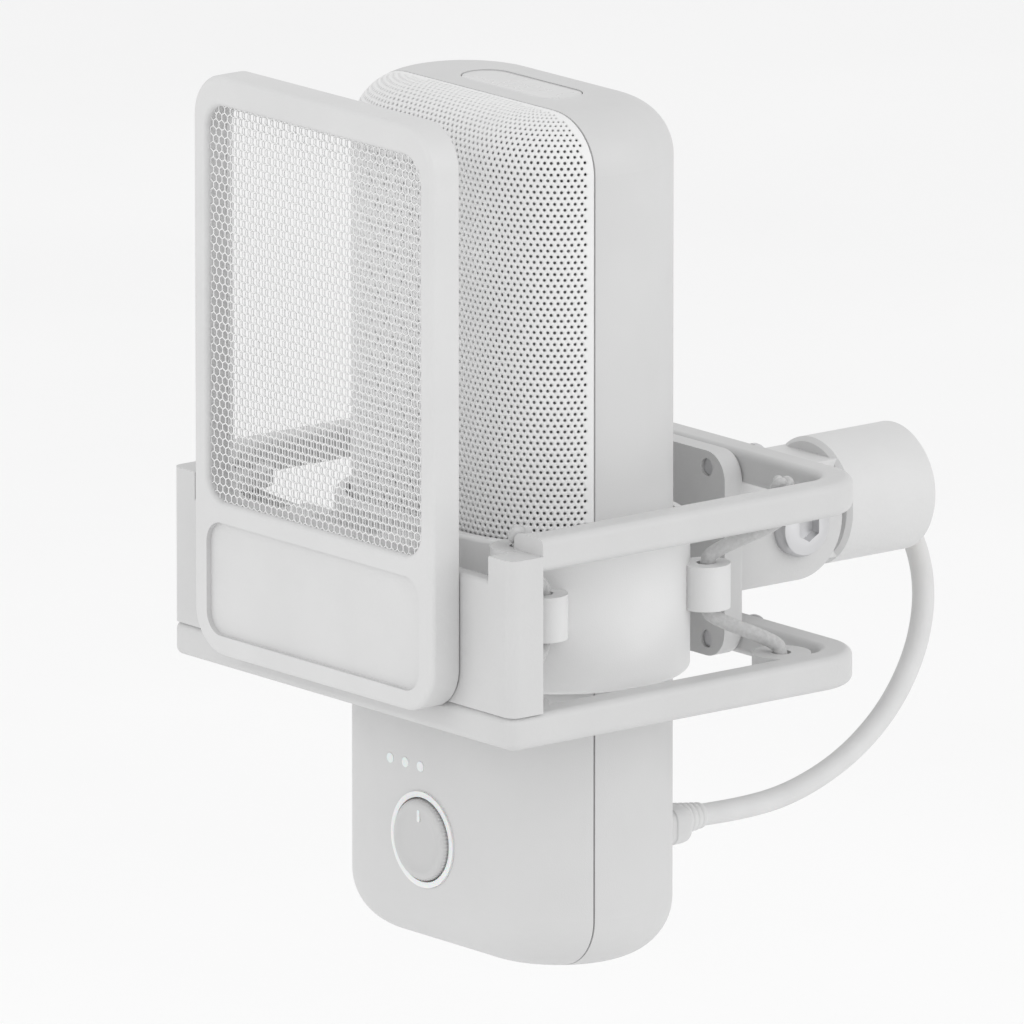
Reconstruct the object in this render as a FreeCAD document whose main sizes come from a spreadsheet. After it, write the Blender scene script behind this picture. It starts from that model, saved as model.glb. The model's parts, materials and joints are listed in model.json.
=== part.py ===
"""Side-address condenser microphone in an elastic shock mount, with a pop filter and a USB lead.

Millimetres, +Z up. The origin is the centre of the threaded socket's mouth, where a boom arm screws in,
and the socket looks along +Y. The microphone's front faces -Y. Every sub-part is drawn about the centre
of the microphone, and its Placement then carries it to (0, mic_y, mic_z).
"""
import FreeCAD, Part
import math
import os
import re
import Sketcher
from FreeCAD import Placement, Rotation, Vector

# Driving dimensions: alias, millimetres, what it is. Positions are from the centre of the microphone.
DIMENSIONS = [
    ("mic_y", -88, "centre of the microphone from the socket's mouth"),
    ("mic_z", 8, "centre of the microphone above the socket's axis"),
    ("mic_width", 66, "body across"),
    ("mic_depth", 40, "body front to back, with fully round ends"),
    ("mic_height", 153, "body height"),
    ("mic_round", 10, "rounding of the top and bottom outlines"),
    ("wall", 2.2, "moulded shell"),
    ("grille_wall", 1.2, "perforated steel"),
    ("foam_gap", 0.2, "grille to foam"),
    ("foam_wall", 2.6, "foam behind the grille"),
    ("seam_y", -7, "plane between the front pieces and the rear housing"),
    ("seam_gap", 0.3, "open seam between shells"),
    ("split_z", -2, "line between the grille and the front cover"),
    ("pad_width", 28, "touch pad in the top"),
    ("pad_depth", 9, "touch pad front to back"),
    ("pad_y", 2.2, "touch pad centre"),
    ("pad_sink", 1.2, "depth of the touch pad's recess"),
    ("pad_gap", 0.2, "gap round the touch pad"),
    ("dial_z", -56, "dial centre"),
    ("dial_r", 7.3, "dial"),
    ("dial_proud", 1.4, "dial in front of the body"),
    ("dial_thick", 3.8, "dial cap"),
    ("ring_gap", 0.3, "dial to light ring"),
    ("ring_wall", 1.0, "light ring"),
    ("hub_r", 3.6, "hub behind the dial cap"),
    ("hub_long", 3.5, "hub behind the dial cap"),
    ("shaft_r", 2, "dial shaft"),
    ("lights_z", -43, "row of indicator lights"),
    ("lights_x", -5, "middle one of the indicator lights"),
    ("lights_pitch", 4.2, "between indicator lights"),
    ("light_r", 0.9, "indicator light"),
    ("usb_z", -61.5, "USB socket and plug axis"),
    ("port_wide", 9.4, "USB socket across"),
    ("port_tall", 3.6, "USB socket height"),
    ("port_wall", 0.4, "USB socket sheet"),
    ("port_start", 6, "inner end of both sockets"),
    ("port_long", 13.2, "USB socket front to back"),
    ("jack_x", 9, "headphone jack axis, clear of the lead"),
    ("jack_z", -44, "headphone jack axis"),
    ("jack_body", 8, "headphone jack block, square"),
    ("jack_bore_r", 1.8, "headphone jack bore"),
    ("jack_nose_r", 3.2, "headphone jack nose"),
    ("jack_nose_start", 17, "root of the headphone jack's nose"),
    ("jack_mouth", 20.2, "mouth of the headphone jack"),
    ("jack_deep", 12.2, "headphone jack bore length"),
    ("capsule_z", 45, "capsule centre"),
    ("capsule_r", 9.5, "capsule housing"),
    ("capsule_wall", 1, "capsule housing"),
    ("capsule_front", -10, "front face of the capsule housing"),
    ("capsule_long", 8, "capsule housing front to back"),
    ("saddle_side", 27, "rubber saddle that holds the capsule, square"),
    ("boss_x", 18, "screw bosses left and right"),
    ("boss_low", -30, "lower screw bosses"),
    ("boss_high", 20, "upper screw bosses"),
    ("boss_r", 3.4, "screw boss"),
    ("boss_start", 4.6, "front end of the screw bosses"),
    ("boss_long", 13.4, "screw boss front to back"),
    ("shank_r", 1.4, "housing screw shank and its hole"),
    ("head_r", 2.6, "housing screw head"),
    ("head_thick", 2.2, "housing screw head"),
    ("chassis_y", 3, "front face of the chassis plate"),
    ("chassis_thick", 1.6, "chassis plate"),
    ("board_y", -2, "front face of the main and preamp boards"),
    ("board_thick", 1.6, "circuit board"),
    ("encoder_y", -7, "front face of the encoder's block"),
    ("encoder_side", 12, "encoder block, square"),
    ("cup_y", -12.2, "front of the encoder's cup and of the plunger in it"),
    ("cup_r", 5.6, "encoder cup outside"),
    ("plunger_r", 4, "plunger that slides in the encoder's cup"),
    ("plunger_long", 3, "plunger front to back"),
    ("sleeve_width", 72, "cradle sleeve outside"),
    ("sleeve_depth", 46, "cradle sleeve outside"),
    ("sleeve_wall", 1.8, "cradle sleeve"),
    ("sleeve_low", -25, "cradle sleeve lower edge"),
    ("sleeve_high", 2, "cradle sleeve upper edge"),
    ("lug_x", 31.3, "elastic lug centre"),
    ("lug_y", 18.3, "elastic lug centre"),
    ("lug_z", -10, "elastic lug mid height"),
    ("lug_tall", 8, "elastic lug height"),
    ("lug_r", 4.3, "elastic lug"),
    ("lug_hole_r", 1.7, "hole for the elastic"),
    ("eyelet_x", 38.5, "elastic eyelet in the frame's corner"),
    ("eyelet_y", 29.5, "elastic eyelet in the frame's corner"),
    ("eyelet_r", 5.2, "elastic eyelet"),
    ("eyelet_tall", 3, "elastic eyelet thickness"),
    ("elastic_r", 1.3, "elastic cord"),
    ("knot_r", 2.4, "knot on the elastic's end"),
    ("frame_width", 95, "shock mount frame across"),
    ("frame_front", -38.5, "front of the shock mount frame"),
    ("frame_back", 44, "back of the shock mount frame"),
    ("frame_bar", 6, "frame bar, square"),
    ("frame_round", 11, "outer rear corner of the frame"),
    ("frame_edge", 2, "outer front corner of the frame"),
    ("upper_z", 2.5, "underside of the upper bar"),
    ("lower_z", -28.5, "underside of the lower ring"),
    ("plate_thick", 3.5, "front plate"),
    ("plate_top", 1, "front plate's upper edge"),
    ("post_width", 6.5, "corner post across"),
    ("post_depth", 7, "corner post front to back"),
    ("post_top", 5.4, "corner post's upper end"),
    ("spine_width", 36, "rear bracket across"),
    ("spine_thick", 4.5, "rear bracket plate"),
    ("spine_low", -28.5, "rear bracket lower edge"),
    ("spine_high", 8.5, "rear bracket upper edge"),
    ("pivot_y", 54.5, "tilt axis"),
    ("ear_r", 10, "rounded end of the ears"),
    ("ear_in", 8.4, "inner face of an ear"),
    ("ear_thick", 4.6, "ear"),
    ("eye_half", 7.2, "half width of the neck's eye"),
    ("eye_r", 8.9, "neck's eye"),
    ("bolt_r", 3, "pivot bolt"),
    ("screw_x", 13, "frame bolts left and right"),
    ("screw_r", 1.6, "frame bolt shank"),
    ("screw_deep", 4, "frame bolt in the bracket"),
    ("screw_head_r", 2.7, "frame bolt head"),
    ("screw_head", 1.8, "frame bolt head thickness"),
    ("running", 0.08, "radial clearance of a turning fit"),
    ("washer_gap", 0.3, "neck's eye to washer"),
    ("washer_r", 7, "friction washer"),
    ("neck_r", 11.5, "round part of the neck"),
    ("neck_start", 13, "round part's distance from the tilt axis"),
    ("tongue_deep", 4, "how far the eye's tongue runs into the round part"),
    ("thread_r", 7.94, "5/8 inch thread, major radius"),
    ("insert_r", 9.3, "thread insert outside"),
    ("thread_deep", 18, "thread insert length"),
    ("knob_r", 9.5, "tilt knob"),
    ("knob_thick", 14, "tilt knob"),
    ("knob_cap", 3, "solid end of the tilt knob"),
    ("knob_core_r", 4.5, "nut in the tilt knob"),
    ("knob_gap", 0.4, "ear to tilt knob"),
    ("notch_r", 1.5, "grip notch in the knob's rim"),
    ("notch_out", 0.6, "centre of a grip notch outside the rim"),
    ("bolt_head_r", 5.6, "pivot bolt head"),
    ("bolt_head", 3, "pivot bolt head thickness"),
    ("filter_width", 66.6, "pop filter frame"),
    ("filter_top", 80, "pop filter upper edge"),
    ("filter_low", -24, "pop filter lower edge"),
    ("filter_back", -38.8, "pop filter rear face"),
    ("filter_deep", 6, "pop filter frame front to back"),
    ("filter_side", 3.6, "pop filter side bar"),
    ("filter_head", 5.5, "pop filter top bar"),
    ("filter_sill", 3.6, "lower edge of the pop filter's window"),
    ("filter_round", 8, "outer corner of the pop filter"),
    ("apron_thick", 5, "solid panel below the pop filter's window"),
    ("mesh_thick", 0.5, "filter mesh"),
    ("mesh_inset", 0.9, "filter mesh inside the frame's faces"),
    ("hook_x", 13, "hooks left and right of the middle"),
    ("hook_width", 8, "pop filter hook"),
    ("hook_thick", 2, "pop filter hook"),
    ("hook_gap", 0.4, "pop filter hook to the front plate"),
    ("hook_drop", 6, "how far a hook reaches down behind the plate"),
    ("cord_r", 2, "USB lead"),
    ("plug_tall", 7, "USB plug overmould"),
    ("plug_wide", 12, "USB plug overmould"),
    ("plug_start", 20.6, "front end of the plug's overmould"),
    ("plug_long", 16.4, "plug overmould front to back"),
    ("tip_long", 7.1, "plug's metal tip"),
    ("relief_long", 6, "plug's strain relief"),
    ("far_relief", 7, "far plug's strain relief"),
    ("far_wide", 15, "far plug overmould"),
    ("far_thick", 7.6, "far plug overmould"),
    ("far_long", 22, "far plug overmould"),
    ("far_shell_wide", 12, "far plug's metal shell"),
    ("far_shell_thick", 4.5, "far plug's metal shell"),
    ("far_shell_long", 12, "far plug's metal shell"),
    ("hank_x", -58, "hank centre"),
    ("hank_y", 40, "hank centre"),
    ("hank_z", -22, "hank centre"),
    ("hank_run", 70, "straight run of the hank"),
    ("hank_fold", 12, "inner fold of the hank, at the cord's centre"),
    ("hank_layers", 4, "cords side by side through the hank's thickness"),
    ("hank_rings", 2, "cords side by side across each leg"),
    ("tie_tall", 10, "cable tie height"),
    ("tie_wall", 1.4, "cable tie strap"),
    ("tie_gap", 0.4, "cable tie to what it holds"),
    ("tie_loop_y", 17.25, "middle of the tie's hanging loop"),
    ("tie_loop_wide", 8.5, "tie's hanging loop along the bar"),
    ("tie_loop_gap", 0.5, "tie's hanging loop to the bar"),
]

# The lead from the plug's strain relief to the hank, then the tail from the hank to the far plug.
LEAD_ROUTE = [
    (0, 43, -61.5), (0, 55, -62), (-0.4, 67.5, -60.2), (-1.2, 79.9, -55.4), (-2.2, 90.1, -47.6),
    (-3.6, 97, -37.2), (-7.4, 100.7, -26.5), (-14.5, 101.2, -17), (-23.5, 98.5, -11), (-33.5, 93, -9.5),
    (-42, 84.8, -12), (-48, 76.2, -18), (-51.2, 68.8, -27), (-52, 63.5, -38), (-52, 59.5, -50),
]
TAIL_ROUTE = [(-58, 50.6, 6), (-58, 48.2, -2), (-58, 44, -9), (-58, 40.8, -16), (-58, 40, -23)]
ARC_SHARE = 0.45
KNOB_NOTCHES = 10
CORNERS = [(sx, sy) for sx in ("", "-") for sy in ("", "-")]
BOSSES = [(f"{sx}boss_x", z) for sx in ("", "-") for z in ("boss_low", "boss_high")]
LIGHTS = [(f"lights_x + {i} * lights_pitch", "lights_z") for i in (-1, 0, 1)]
BOLTS = [(f"{sx}screw_x", f"{bar} + frame_bar / 2") for sx in ("", "-") for bar in ("upper_z", "lower_z")]

ALIASES = {name for name, _, _ in DIMENSIONS}
doc = FreeCAD.newDocument("microphone")
sheet = doc.addObject("Spreadsheet::Sheet", "dims")
nodes = {}


def fill_sheet():
    for row, (name, value, note) in enumerate(DIMENSIONS, start=1):
        sheet.set(f"A{row}", name)
        sheet.set(f"B{row}", str(value))
        sheet.setAlias(f"B{row}", name)
        sheet.set(f"C{row}", note)
    doc.recompute()


def formula(text):
    """The text with each alias written as a reference to the sheet."""
    return re.sub(r"[a-z]\w*", lambda m: f"dims.{m[0]}" if m[0] in ALIASES else m[0], str(text))


def size(text):
    """The present value of a formula, for the pieces that Part draws directly."""
    return float(sheet.evalExpression(formula(text)))


def bind(obj, **sizes):
    for name, text in sizes.items():
        obj.setExpression(name, formula(text))


def put(obj, x=0, y=0, z=0):
    """Ties the three coordinates of an object's place to the sheet."""
    for axis, text in zip("xyz", (x, y, z)):
        obj.setExpression(f"Placement.Base.{axis}", formula(text))
    return obj


def node(name, obj):
    """Registers a finished sub-part and carries it from the microphone's centre to its place."""
    obj.Label = name
    put(obj, 0, "mic_y", "mic_z")
    nodes[name] = obj
    return obj


# ---------------------------------------------------------------- sketches
def constrain(sketch, number, kind, *places, to=None):
    """One named constraint, tied to the sheet where it has a size."""
    if to is None:
        sketch.addConstraint(Sketcher.Constraint(kind, *places))
        return
    index = sketch.addConstraint(Sketcher.Constraint(kind, *places, size(to)))
    sketch.renameConstraint(index, f"size{number}_{index}")
    sketch.setExpression(f"Constraints.size{number}_{index}", formula(to))


def centre_at(sketch, edge, x=None, y=None):
    """Places an arc's or a circle's centre from the sketch's origin."""
    if x is not None:
        constrain(sketch, edge, "DistanceX", -1, 1, edge, 3, to=x)
    if y is not None:
        constrain(sketch, edge, "DistanceY", -1, 1, edge, 3, to=y)


def draw_circle(sketch, radius, x=0, y=0):
    middle = Vector(size(x), size(y), 0)
    edge = sketch.addGeometry(Part.Circle(middle, Vector(0, 0, 1), size(radius)))
    constrain(sketch, edge, "Radius", edge, to=radius)
    centre_at(sketch, edge, x, y)


def arc(x, y, radius, start, end):
    circle = Part.Circle(Vector(x, y, 0), Vector(0, 0, 1), radius)
    return Part.ArcOfCircle(circle, math.radians(start), math.radians(end))


def line(x1, y1, x2, y2):
    return Part.LineSegment(Vector(x1, y1, 0), Vector(x2, y2, 0))


def draw_stadium(sketch, width, depth, x=0, y=0):
    """A slot shape along the sketch's first axis, with fully round ends."""
    r, c = size(depth) / 2, (size(width) - size(depth)) / 2
    x0, y0 = size(x), size(y)
    top = sketch.addGeometry(line(x0 - c, y0 + r, x0 + c, y0 + r))
    right = sketch.addGeometry(arc(x0 + c, y0, r, -90, 90))
    low = sketch.addGeometry(line(x0 + c, y0 - r, x0 - c, y0 - r))
    left = sketch.addGeometry(arc(x0 - c, y0, r, 90, 270))
    for joint in ((top, 2, right, 2), (right, 1, low, 1), (low, 2, left, 2), (left, 1, top, 1)):
        constrain(sketch, top, "Tangent", *joint)
    constrain(sketch, top, "Horizontal", top)
    constrain(sketch, top, "Equal", right, left)
    constrain(sketch, top, "Radius", right, to=f"({depth}) / 2")
    half = f"(({width}) - ({depth})) / 2"
    centre_at(sketch, right, f"({x}) + {half}", y)
    centre_at(sketch, left, f"({x}) - {half}")


def draw_rounded(sketch, width, height, radius, x=0, y=0):
    """A rectangle with four round corners."""
    r, a, b = size(radius), size(width) / 2, size(height) / 2
    x0, y0 = size(x), size(y)
    p, q = a - r, b - r
    top = sketch.addGeometry(line(x0 - p, y0 + b, x0 + p, y0 + b))
    right = sketch.addGeometry(line(x0 + a, y0 + q, x0 + a, y0 - q))
    low = sketch.addGeometry(line(x0 + p, y0 - b, x0 - p, y0 - b))
    left = sketch.addGeometry(line(x0 - a, y0 - q, x0 - a, y0 + q))
    one = sketch.addGeometry(arc(x0 + p, y0 + q, r, 0, 90))
    two = sketch.addGeometry(arc(x0 + p, y0 - q, r, 270, 360))
    three = sketch.addGeometry(arc(x0 - p, y0 - q, r, 180, 270))
    four = sketch.addGeometry(arc(x0 - p, y0 + q, r, 90, 180))
    joints = (
        (top, 2, one, 2), (one, 1, right, 1), (right, 2, two, 2), (two, 1, low, 1),
        (low, 2, three, 2), (three, 1, left, 1), (left, 2, four, 2), (four, 1, top, 1),
    )
    for joint in joints:
        constrain(sketch, top, "Tangent", *joint)
    for edge, kind in ((top, "Horizontal"), (low, "Horizontal"), (right, "Vertical"), (left, "Vertical")):
        constrain(sketch, top, kind, edge)
    for other in (two, three, four):
        constrain(sketch, top, "Equal", one, other)
    constrain(sketch, top, "Radius", one, to=radius)
    across, along = f"({width}) / 2 - ({radius})", f"({height}) / 2 - ({radius})"
    centre_at(sketch, one, f"({x}) + {across}", f"({y}) + {along}")
    centre_at(sketch, three, f"({x}) - ({across})", f"({y}) - ({along})")


def draw_box(sketch, width, height, x=0, y=0):
    """A plain rectangle about a centre."""
    a, b, x0, y0 = size(width) / 2, size(height) / 2, size(x), size(y)
    corners = [(x0 - a, y0 - b), (x0 + a, y0 - b), (x0 + a, y0 + b), (x0 - a, y0 + b)]
    edges = [
        sketch.addGeometry(line(*corners[i], *corners[(i + 1) % 4])) for i in range(4)
    ]
    for i in range(4):
        constrain(sketch, edges[0], "Coincident", edges[i], 2, edges[(i + 1) % 4], 1)
        constrain(sketch, edges[0], "Vertical" if i % 2 else "Horizontal", edges[i])
    for edge, sign in ((edges[0], "-"), (edges[2], "+")):
        constrain(sketch, edge, "DistanceX", -1, 1, edge, 1, to=f"({x}) {sign} ({width}) / 2")
        constrain(sketch, edge, "DistanceY", -1, 1, edge, 1, to=f"({y}) {sign} ({height}) / 2")


def draw_upright(sketch, width, height, x=0, y=0):
    """A slot shape along the sketch's second axis, with fully round ends."""
    r, c = size(width) / 2, (size(height) - size(width)) / 2
    x0, y0 = size(x), size(y)
    right = sketch.addGeometry(line(x0 + r, y0 - c, x0 + r, y0 + c))
    top = sketch.addGeometry(arc(x0, y0 + c, r, 0, 180))
    left = sketch.addGeometry(line(x0 - r, y0 + c, x0 - r, y0 - c))
    low = sketch.addGeometry(arc(x0, y0 - c, r, 180, 360))
    for joint in ((right, 2, top, 1), (top, 2, left, 1), (left, 2, low, 1), (low, 2, right, 1)):
        constrain(sketch, top, "Tangent", *joint)
    constrain(sketch, top, "Vertical", right)
    constrain(sketch, top, "Equal", top, low)
    constrain(sketch, top, "Radius", top, to=f"({width}) / 2")
    half = f"(({height}) - ({width})) / 2"
    centre_at(sketch, top, x, f"({y}) + {half}")
    centre_at(sketch, low, None, f"({y}) - {half}")


DRAW = {
    "circle": draw_circle, "stadium": draw_stadium, "upright": draw_upright,
    "rounded": draw_rounded, "box": draw_box,
}


def new_sketch(body, plane, start, outlines):
    """A sketch on one of the body's own planes, moved along X, Y or Z to start."""
    sketch = body.newObject("Sketcher::SketchObject", f"{body.Name}_sketch")
    face = next(f for f in body.Origin.OriginFeatures if f.Role == f"{plane}_Plane")
    sketch.AttachmentSupport = [(face, "")]
    sketch.MapMode = "FlatFace"
    away = f"-({start})" if plane == "XZ" else str(start)
    sketch.setExpression("AttachmentOffset.Base.z", formula(away))
    for kind, *sizes in outlines:
        DRAW[kind](sketch, *sizes)
    return sketch


# ---------------------------------------------------------------- features
def pad(body, plane, start, length, *outlines):
    """Adds an extrusion from start towards the positive axis."""
    feature = body.newObject("PartDesign::Pad", f"{body.Name}_pad")
    feature.Profile = new_sketch(body, plane, start, outlines)
    feature.Reversed = plane == "XZ"
    bind(feature, Length=length)
    doc.recompute()
    return feature


def pocket(body, plane, start, length, *outlines):
    """Cuts from start towards the positive axis, and stops if nothing was cut."""
    before = body.Shape.Volume
    feature = body.newObject("PartDesign::Pocket", f"{body.Name}_pocket")
    feature.Profile = new_sketch(body, plane, start, outlines)
    feature.Reversed = plane != "XZ"
    bind(feature, Length=length)
    doc.recompute()
    if not body.Shape.Volume < before - 1e-6:
        raise RuntimeError(f"{body.Name}: a pocket cut nothing")
    return feature


def prism(name, plane, start, length, *outlines):
    body = doc.addObject("PartDesign::Body", name)
    pad(body, plane, start, length, *outlines)
    return body


def dress(kind, body, radius, wanted):
    """Fillets or chamfers the edges of the body's tip that wanted() picks."""
    tip = body.Tip
    names = [f"Edge{i}" for i, e in enumerate(tip.Shape.Edges, start=1) if wanted(e)]
    if not names:
        raise RuntimeError(f"{body.Name}: no edge to dress")
    feature = body.newObject(f"PartDesign::{kind}", f"{body.Name}_{kind.lower()}")
    feature.Base = (tip, names)
    bind(feature, **{"Radius" if kind == "Fillet" else "Size": radius})
    doc.recompute()
    return body


def flat_at(axis, *places):
    """Picks the edges that lie in one of the planes axis = place."""
    def wanted(edge):
        box = edge.BoundBox
        low, high = (getattr(box, f"{axis}{end}") for end in ("Min", "Max"))
        return any(abs(low - p) < 1e-4 and abs(high - p) < 1e-4 for p in map(size, places))
    return wanted


def cut(name, base, *tools):
    tool = tools[0] if len(tools) == 1 else join(f"{name}_tools", *tools)
    result = doc.addObject("Part::Cut", name)
    result.Base, result.Tool = base, tool
    doc.recompute()
    return result


def join(name, *shapes):
    result = doc.addObject("Part::MultiFuse", name)
    result.Shapes = list(shapes)
    result.Refine = True
    doc.recompute()
    return result


def meet(name, first, second):
    result = doc.addObject("Part::Common", name)
    result.Base, result.Tool = first, second
    doc.recompute()
    return result


def block(name, x, y, z):
    """A Part box between the two values of each pair."""
    box = doc.addObject("Part::Box", name)
    spans = {"Length": x, "Width": y, "Height": z}
    bind(box, **{word: f"({high}) - ({low})" for word, (low, high) in spans.items()})
    return put(box, x[0], y[0], z[0])


def rod(name, axis, radius, start, length, x=0, y=0, z=0):
    """A Part cylinder that begins at start on its axis and runs towards the positive end."""
    cylinder = doc.addObject("Part::Cylinder", name)
    turns = {"X": Rotation(Vector(0, 1, 0), 90), "Y": Rotation(Vector(1, 0, 0), -90), "Z": Rotation()}
    bind(cylinder, Radius=radius, Height=length)
    cylinder.Placement = Placement(Vector(), turns[axis])
    place = {"X": (start, y, z), "Y": (x, start, z), "Z": (x, y, start)}[axis]
    return put(cylinder, *place)


def rods(name, axis, radius, start, length, places):
    """Equal cylinders at the given places: (x, z) for rods along Y, (x, y) for rods along Z."""
    other = {"Y": "z", "Z": "y"}[axis]
    return [
        rod(f"{name}_{i}", axis, radius, start, length, **{"x": first, other: second})
        for i, (first, second) in enumerate(places)
    ]


def group(name, solids):
    """Identical loose pieces kept in one sub-part."""
    result = doc.addObject("Part::Compound", name)
    result.Links = solids
    return result


# ---------------------------------------------------------------- microphone shells
def capsule_block(name, inset):
    """The microphone's outer form, made smaller all round by inset."""
    width, depth = f"mic_width - 2 * ({inset})", f"mic_depth - 2 * ({inset})"
    half = f"mic_height / 2 - ({inset})"
    body = prism(name, "XY", f"-({half})", f"2 * ({half})", ("stadium", width, depth))
    return dress("Fillet", body, f"mic_round - ({inset})", flat_at("Z", f"-({half})", half))


def make_shells():
    form = capsule_block("form", 0)
    shell = cut("shell", form, capsule_block("form_inside", "wall"))
    steel = cut("steel", form, capsule_block("form_steel", "grille_wall"))
    outer_foam = capsule_block("foam_outside", "grille_wall + foam_gap")
    foam = cut("foam", outer_foam, capsule_block("foam_inside", "grille_wall + foam_gap + foam_wall"))
    wide, deep, tall = ("-mic_width", "mic_width"), "-mic_depth", "mic_height"
    front = (deep, "seam_y - seam_gap")
    rear_half = block("rear_half", wide, ("seam_y", "mic_depth"), ("-mic_height", tall))
    cover_zone = block("cover_zone", wide, front, ("-mic_height", "split_z - seam_gap"))
    grille_zone = block("grille_zone", wide, front, ("split_z", tall))
    foam_zone = block("foam_zone", wide, (deep, "seam_y - 1"), ("split_z + 1", tall))

    bosses = rods("boss", "Y", "boss_r", "boss_start", "boss_long", BOSSES)
    rear = join("rear_with_bosses", meet("rear_shell", shell, rear_half), *bosses)
    screw_holes = rods("screw_hole", "Y", "shank_r", "boss_start - 1", 9, BOSSES)
    top = "mic_height / 2"
    recess = prism("pad_recess", "XY", f"{top} - pad_sink", 5,
                   ("stadium", "pad_width + 2 * pad_gap", "pad_depth + 2 * pad_gap", 0, "pad_y"))
    usb_hole = prism("usb_hole", "XZ", 15, 10,
                     ("stadium", "port_wide + port_wall", "port_tall + port_wall", 0, "usb_z"))
    jack_hole = rod("jack_hole", "Y", "jack_nose_r", 15, 10, x="jack_x", z="jack_z")
    node("rear_housing", cut("rear_cut", rear, recess, usb_hole, jack_hole, *screw_holes))

    dial_hole = rod("dial_hole", "Y", "dial_r + ring_gap + ring_wall", "-mic_depth", "mic_depth", z="dial_z")
    light_holes = rods("light_hole", "Y", "light_r", "-mic_depth", "mic_depth", LIGHTS)
    node("front_cover", cut("cover_cut", meet("cover_shell", shell, cover_zone), dial_hole, *light_holes))
    node("front_grille", meet("grille_shell", steel, grille_zone))
    node("foam_liner", meet("foam_shell", foam, foam_zone))

    pad_body = prism("touch_pad_body", "XY", f"{top} - pad_sink", "pad_sink - 0.15",
                     ("stadium", "pad_width", "pad_depth", 0, "pad_y"))
    node("touch_pad", pad_body)


# ---------------------------------------------------------------- inside the microphone
def make_insides():
    plates = (
        ("chassis", "chassis_y", "chassis_thick", 48, 128, 4, -4),
        ("main_board", "board_y", "board_thick", 44, 60, 2, -38),
        ("preamp_board", "board_y", "board_thick", 30, 24, 2, 12),
        ("io_board", "chassis_y + chassis_thick", 1.4, 24, 34, 2, -53),
    )
    for name, start, thick, width, height, radius, z in plates:
        plate = prism(f"{name}_body", "XZ", start, thick, ("rounded", width, height, radius, 0, z))
        if name == "chassis":
            holes = [("circle", "shank_r", x, z) for x, z in BOSSES]
            pocket(plate, "XZ", "chassis_y - 1", "chassis_thick + 2", *holes)
        node(name, plate)

    heads = rods("housing_head", "Y", "head_r", "chassis_y - head_thick", "head_thick", BOSSES)
    shanks = rods("housing_shank", "Y", "shank_r", "chassis_y - 1", 10, BOSSES)
    screws = [join(f"housing_screw_{i}", *pair) for i, pair in enumerate(zip(heads, shanks))]
    node("housing_screws", group("screws", screws))

    usb = prism("usb_shell", "XZ", "port_start", "port_long",
                ("stadium", "port_wide", "port_tall", 0, "usb_z"))
    opening = ("stadium", "port_wide - 2 * port_wall", "port_tall - 2 * port_wall", 0, "usb_z")
    pocket(usb, "XZ", "plug_start - tip_long - 1", "tip_long + 2", opening)
    node("usb_socket", usb)
    place = ("jack_x", "jack_z")
    jack = prism("jack_block", "XZ", "port_start", "jack_nose_start - port_start",
                 ("rounded", "jack_body", "jack_body", 1, *place))
    pad(jack, "XZ", "jack_nose_start", "jack_mouth - jack_nose_start", ("circle", "jack_nose_r", *place))
    pocket(jack, "XZ", "jack_mouth - jack_deep", "jack_deep + 2", ("circle", "jack_bore_r", *place))
    node("headphone_jack", jack)

    outside = ("circle", "capsule_r", 0, "capsule_z")
    inside = ("circle", "capsule_r - capsule_wall", 0, "capsule_z")
    node("capsule_housing", prism("capsule_tube", "XZ", "capsule_front", "capsule_long", outside, inside))
    node("diaphragm", prism("diaphragm_body", "XZ", "capsule_front + 1", 0.3, inside))
    plate = prism("backplate_body", "XZ", "capsule_front + 2.5", 2, inside)
    holes = []
    for angle in range(0, 360, 60):
        x, z = 5 * math.cos(math.radians(angle)), 5 * math.sin(math.radians(angle))
        holes.append(("circle", 0.7, x, f"capsule_z + {z:.4f}"))
    pocket(plate, "XZ", "capsule_front + 2", 3, *holes)
    node("backplate", plate)
    node("capsule_saddle", prism("saddle_body", "XZ", "capsule_front + 2", "chassis_y - capsule_front - 2",
                                 ("rounded", "saddle_side", "saddle_side", 5, 0, "capsule_z"), outside))


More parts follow.
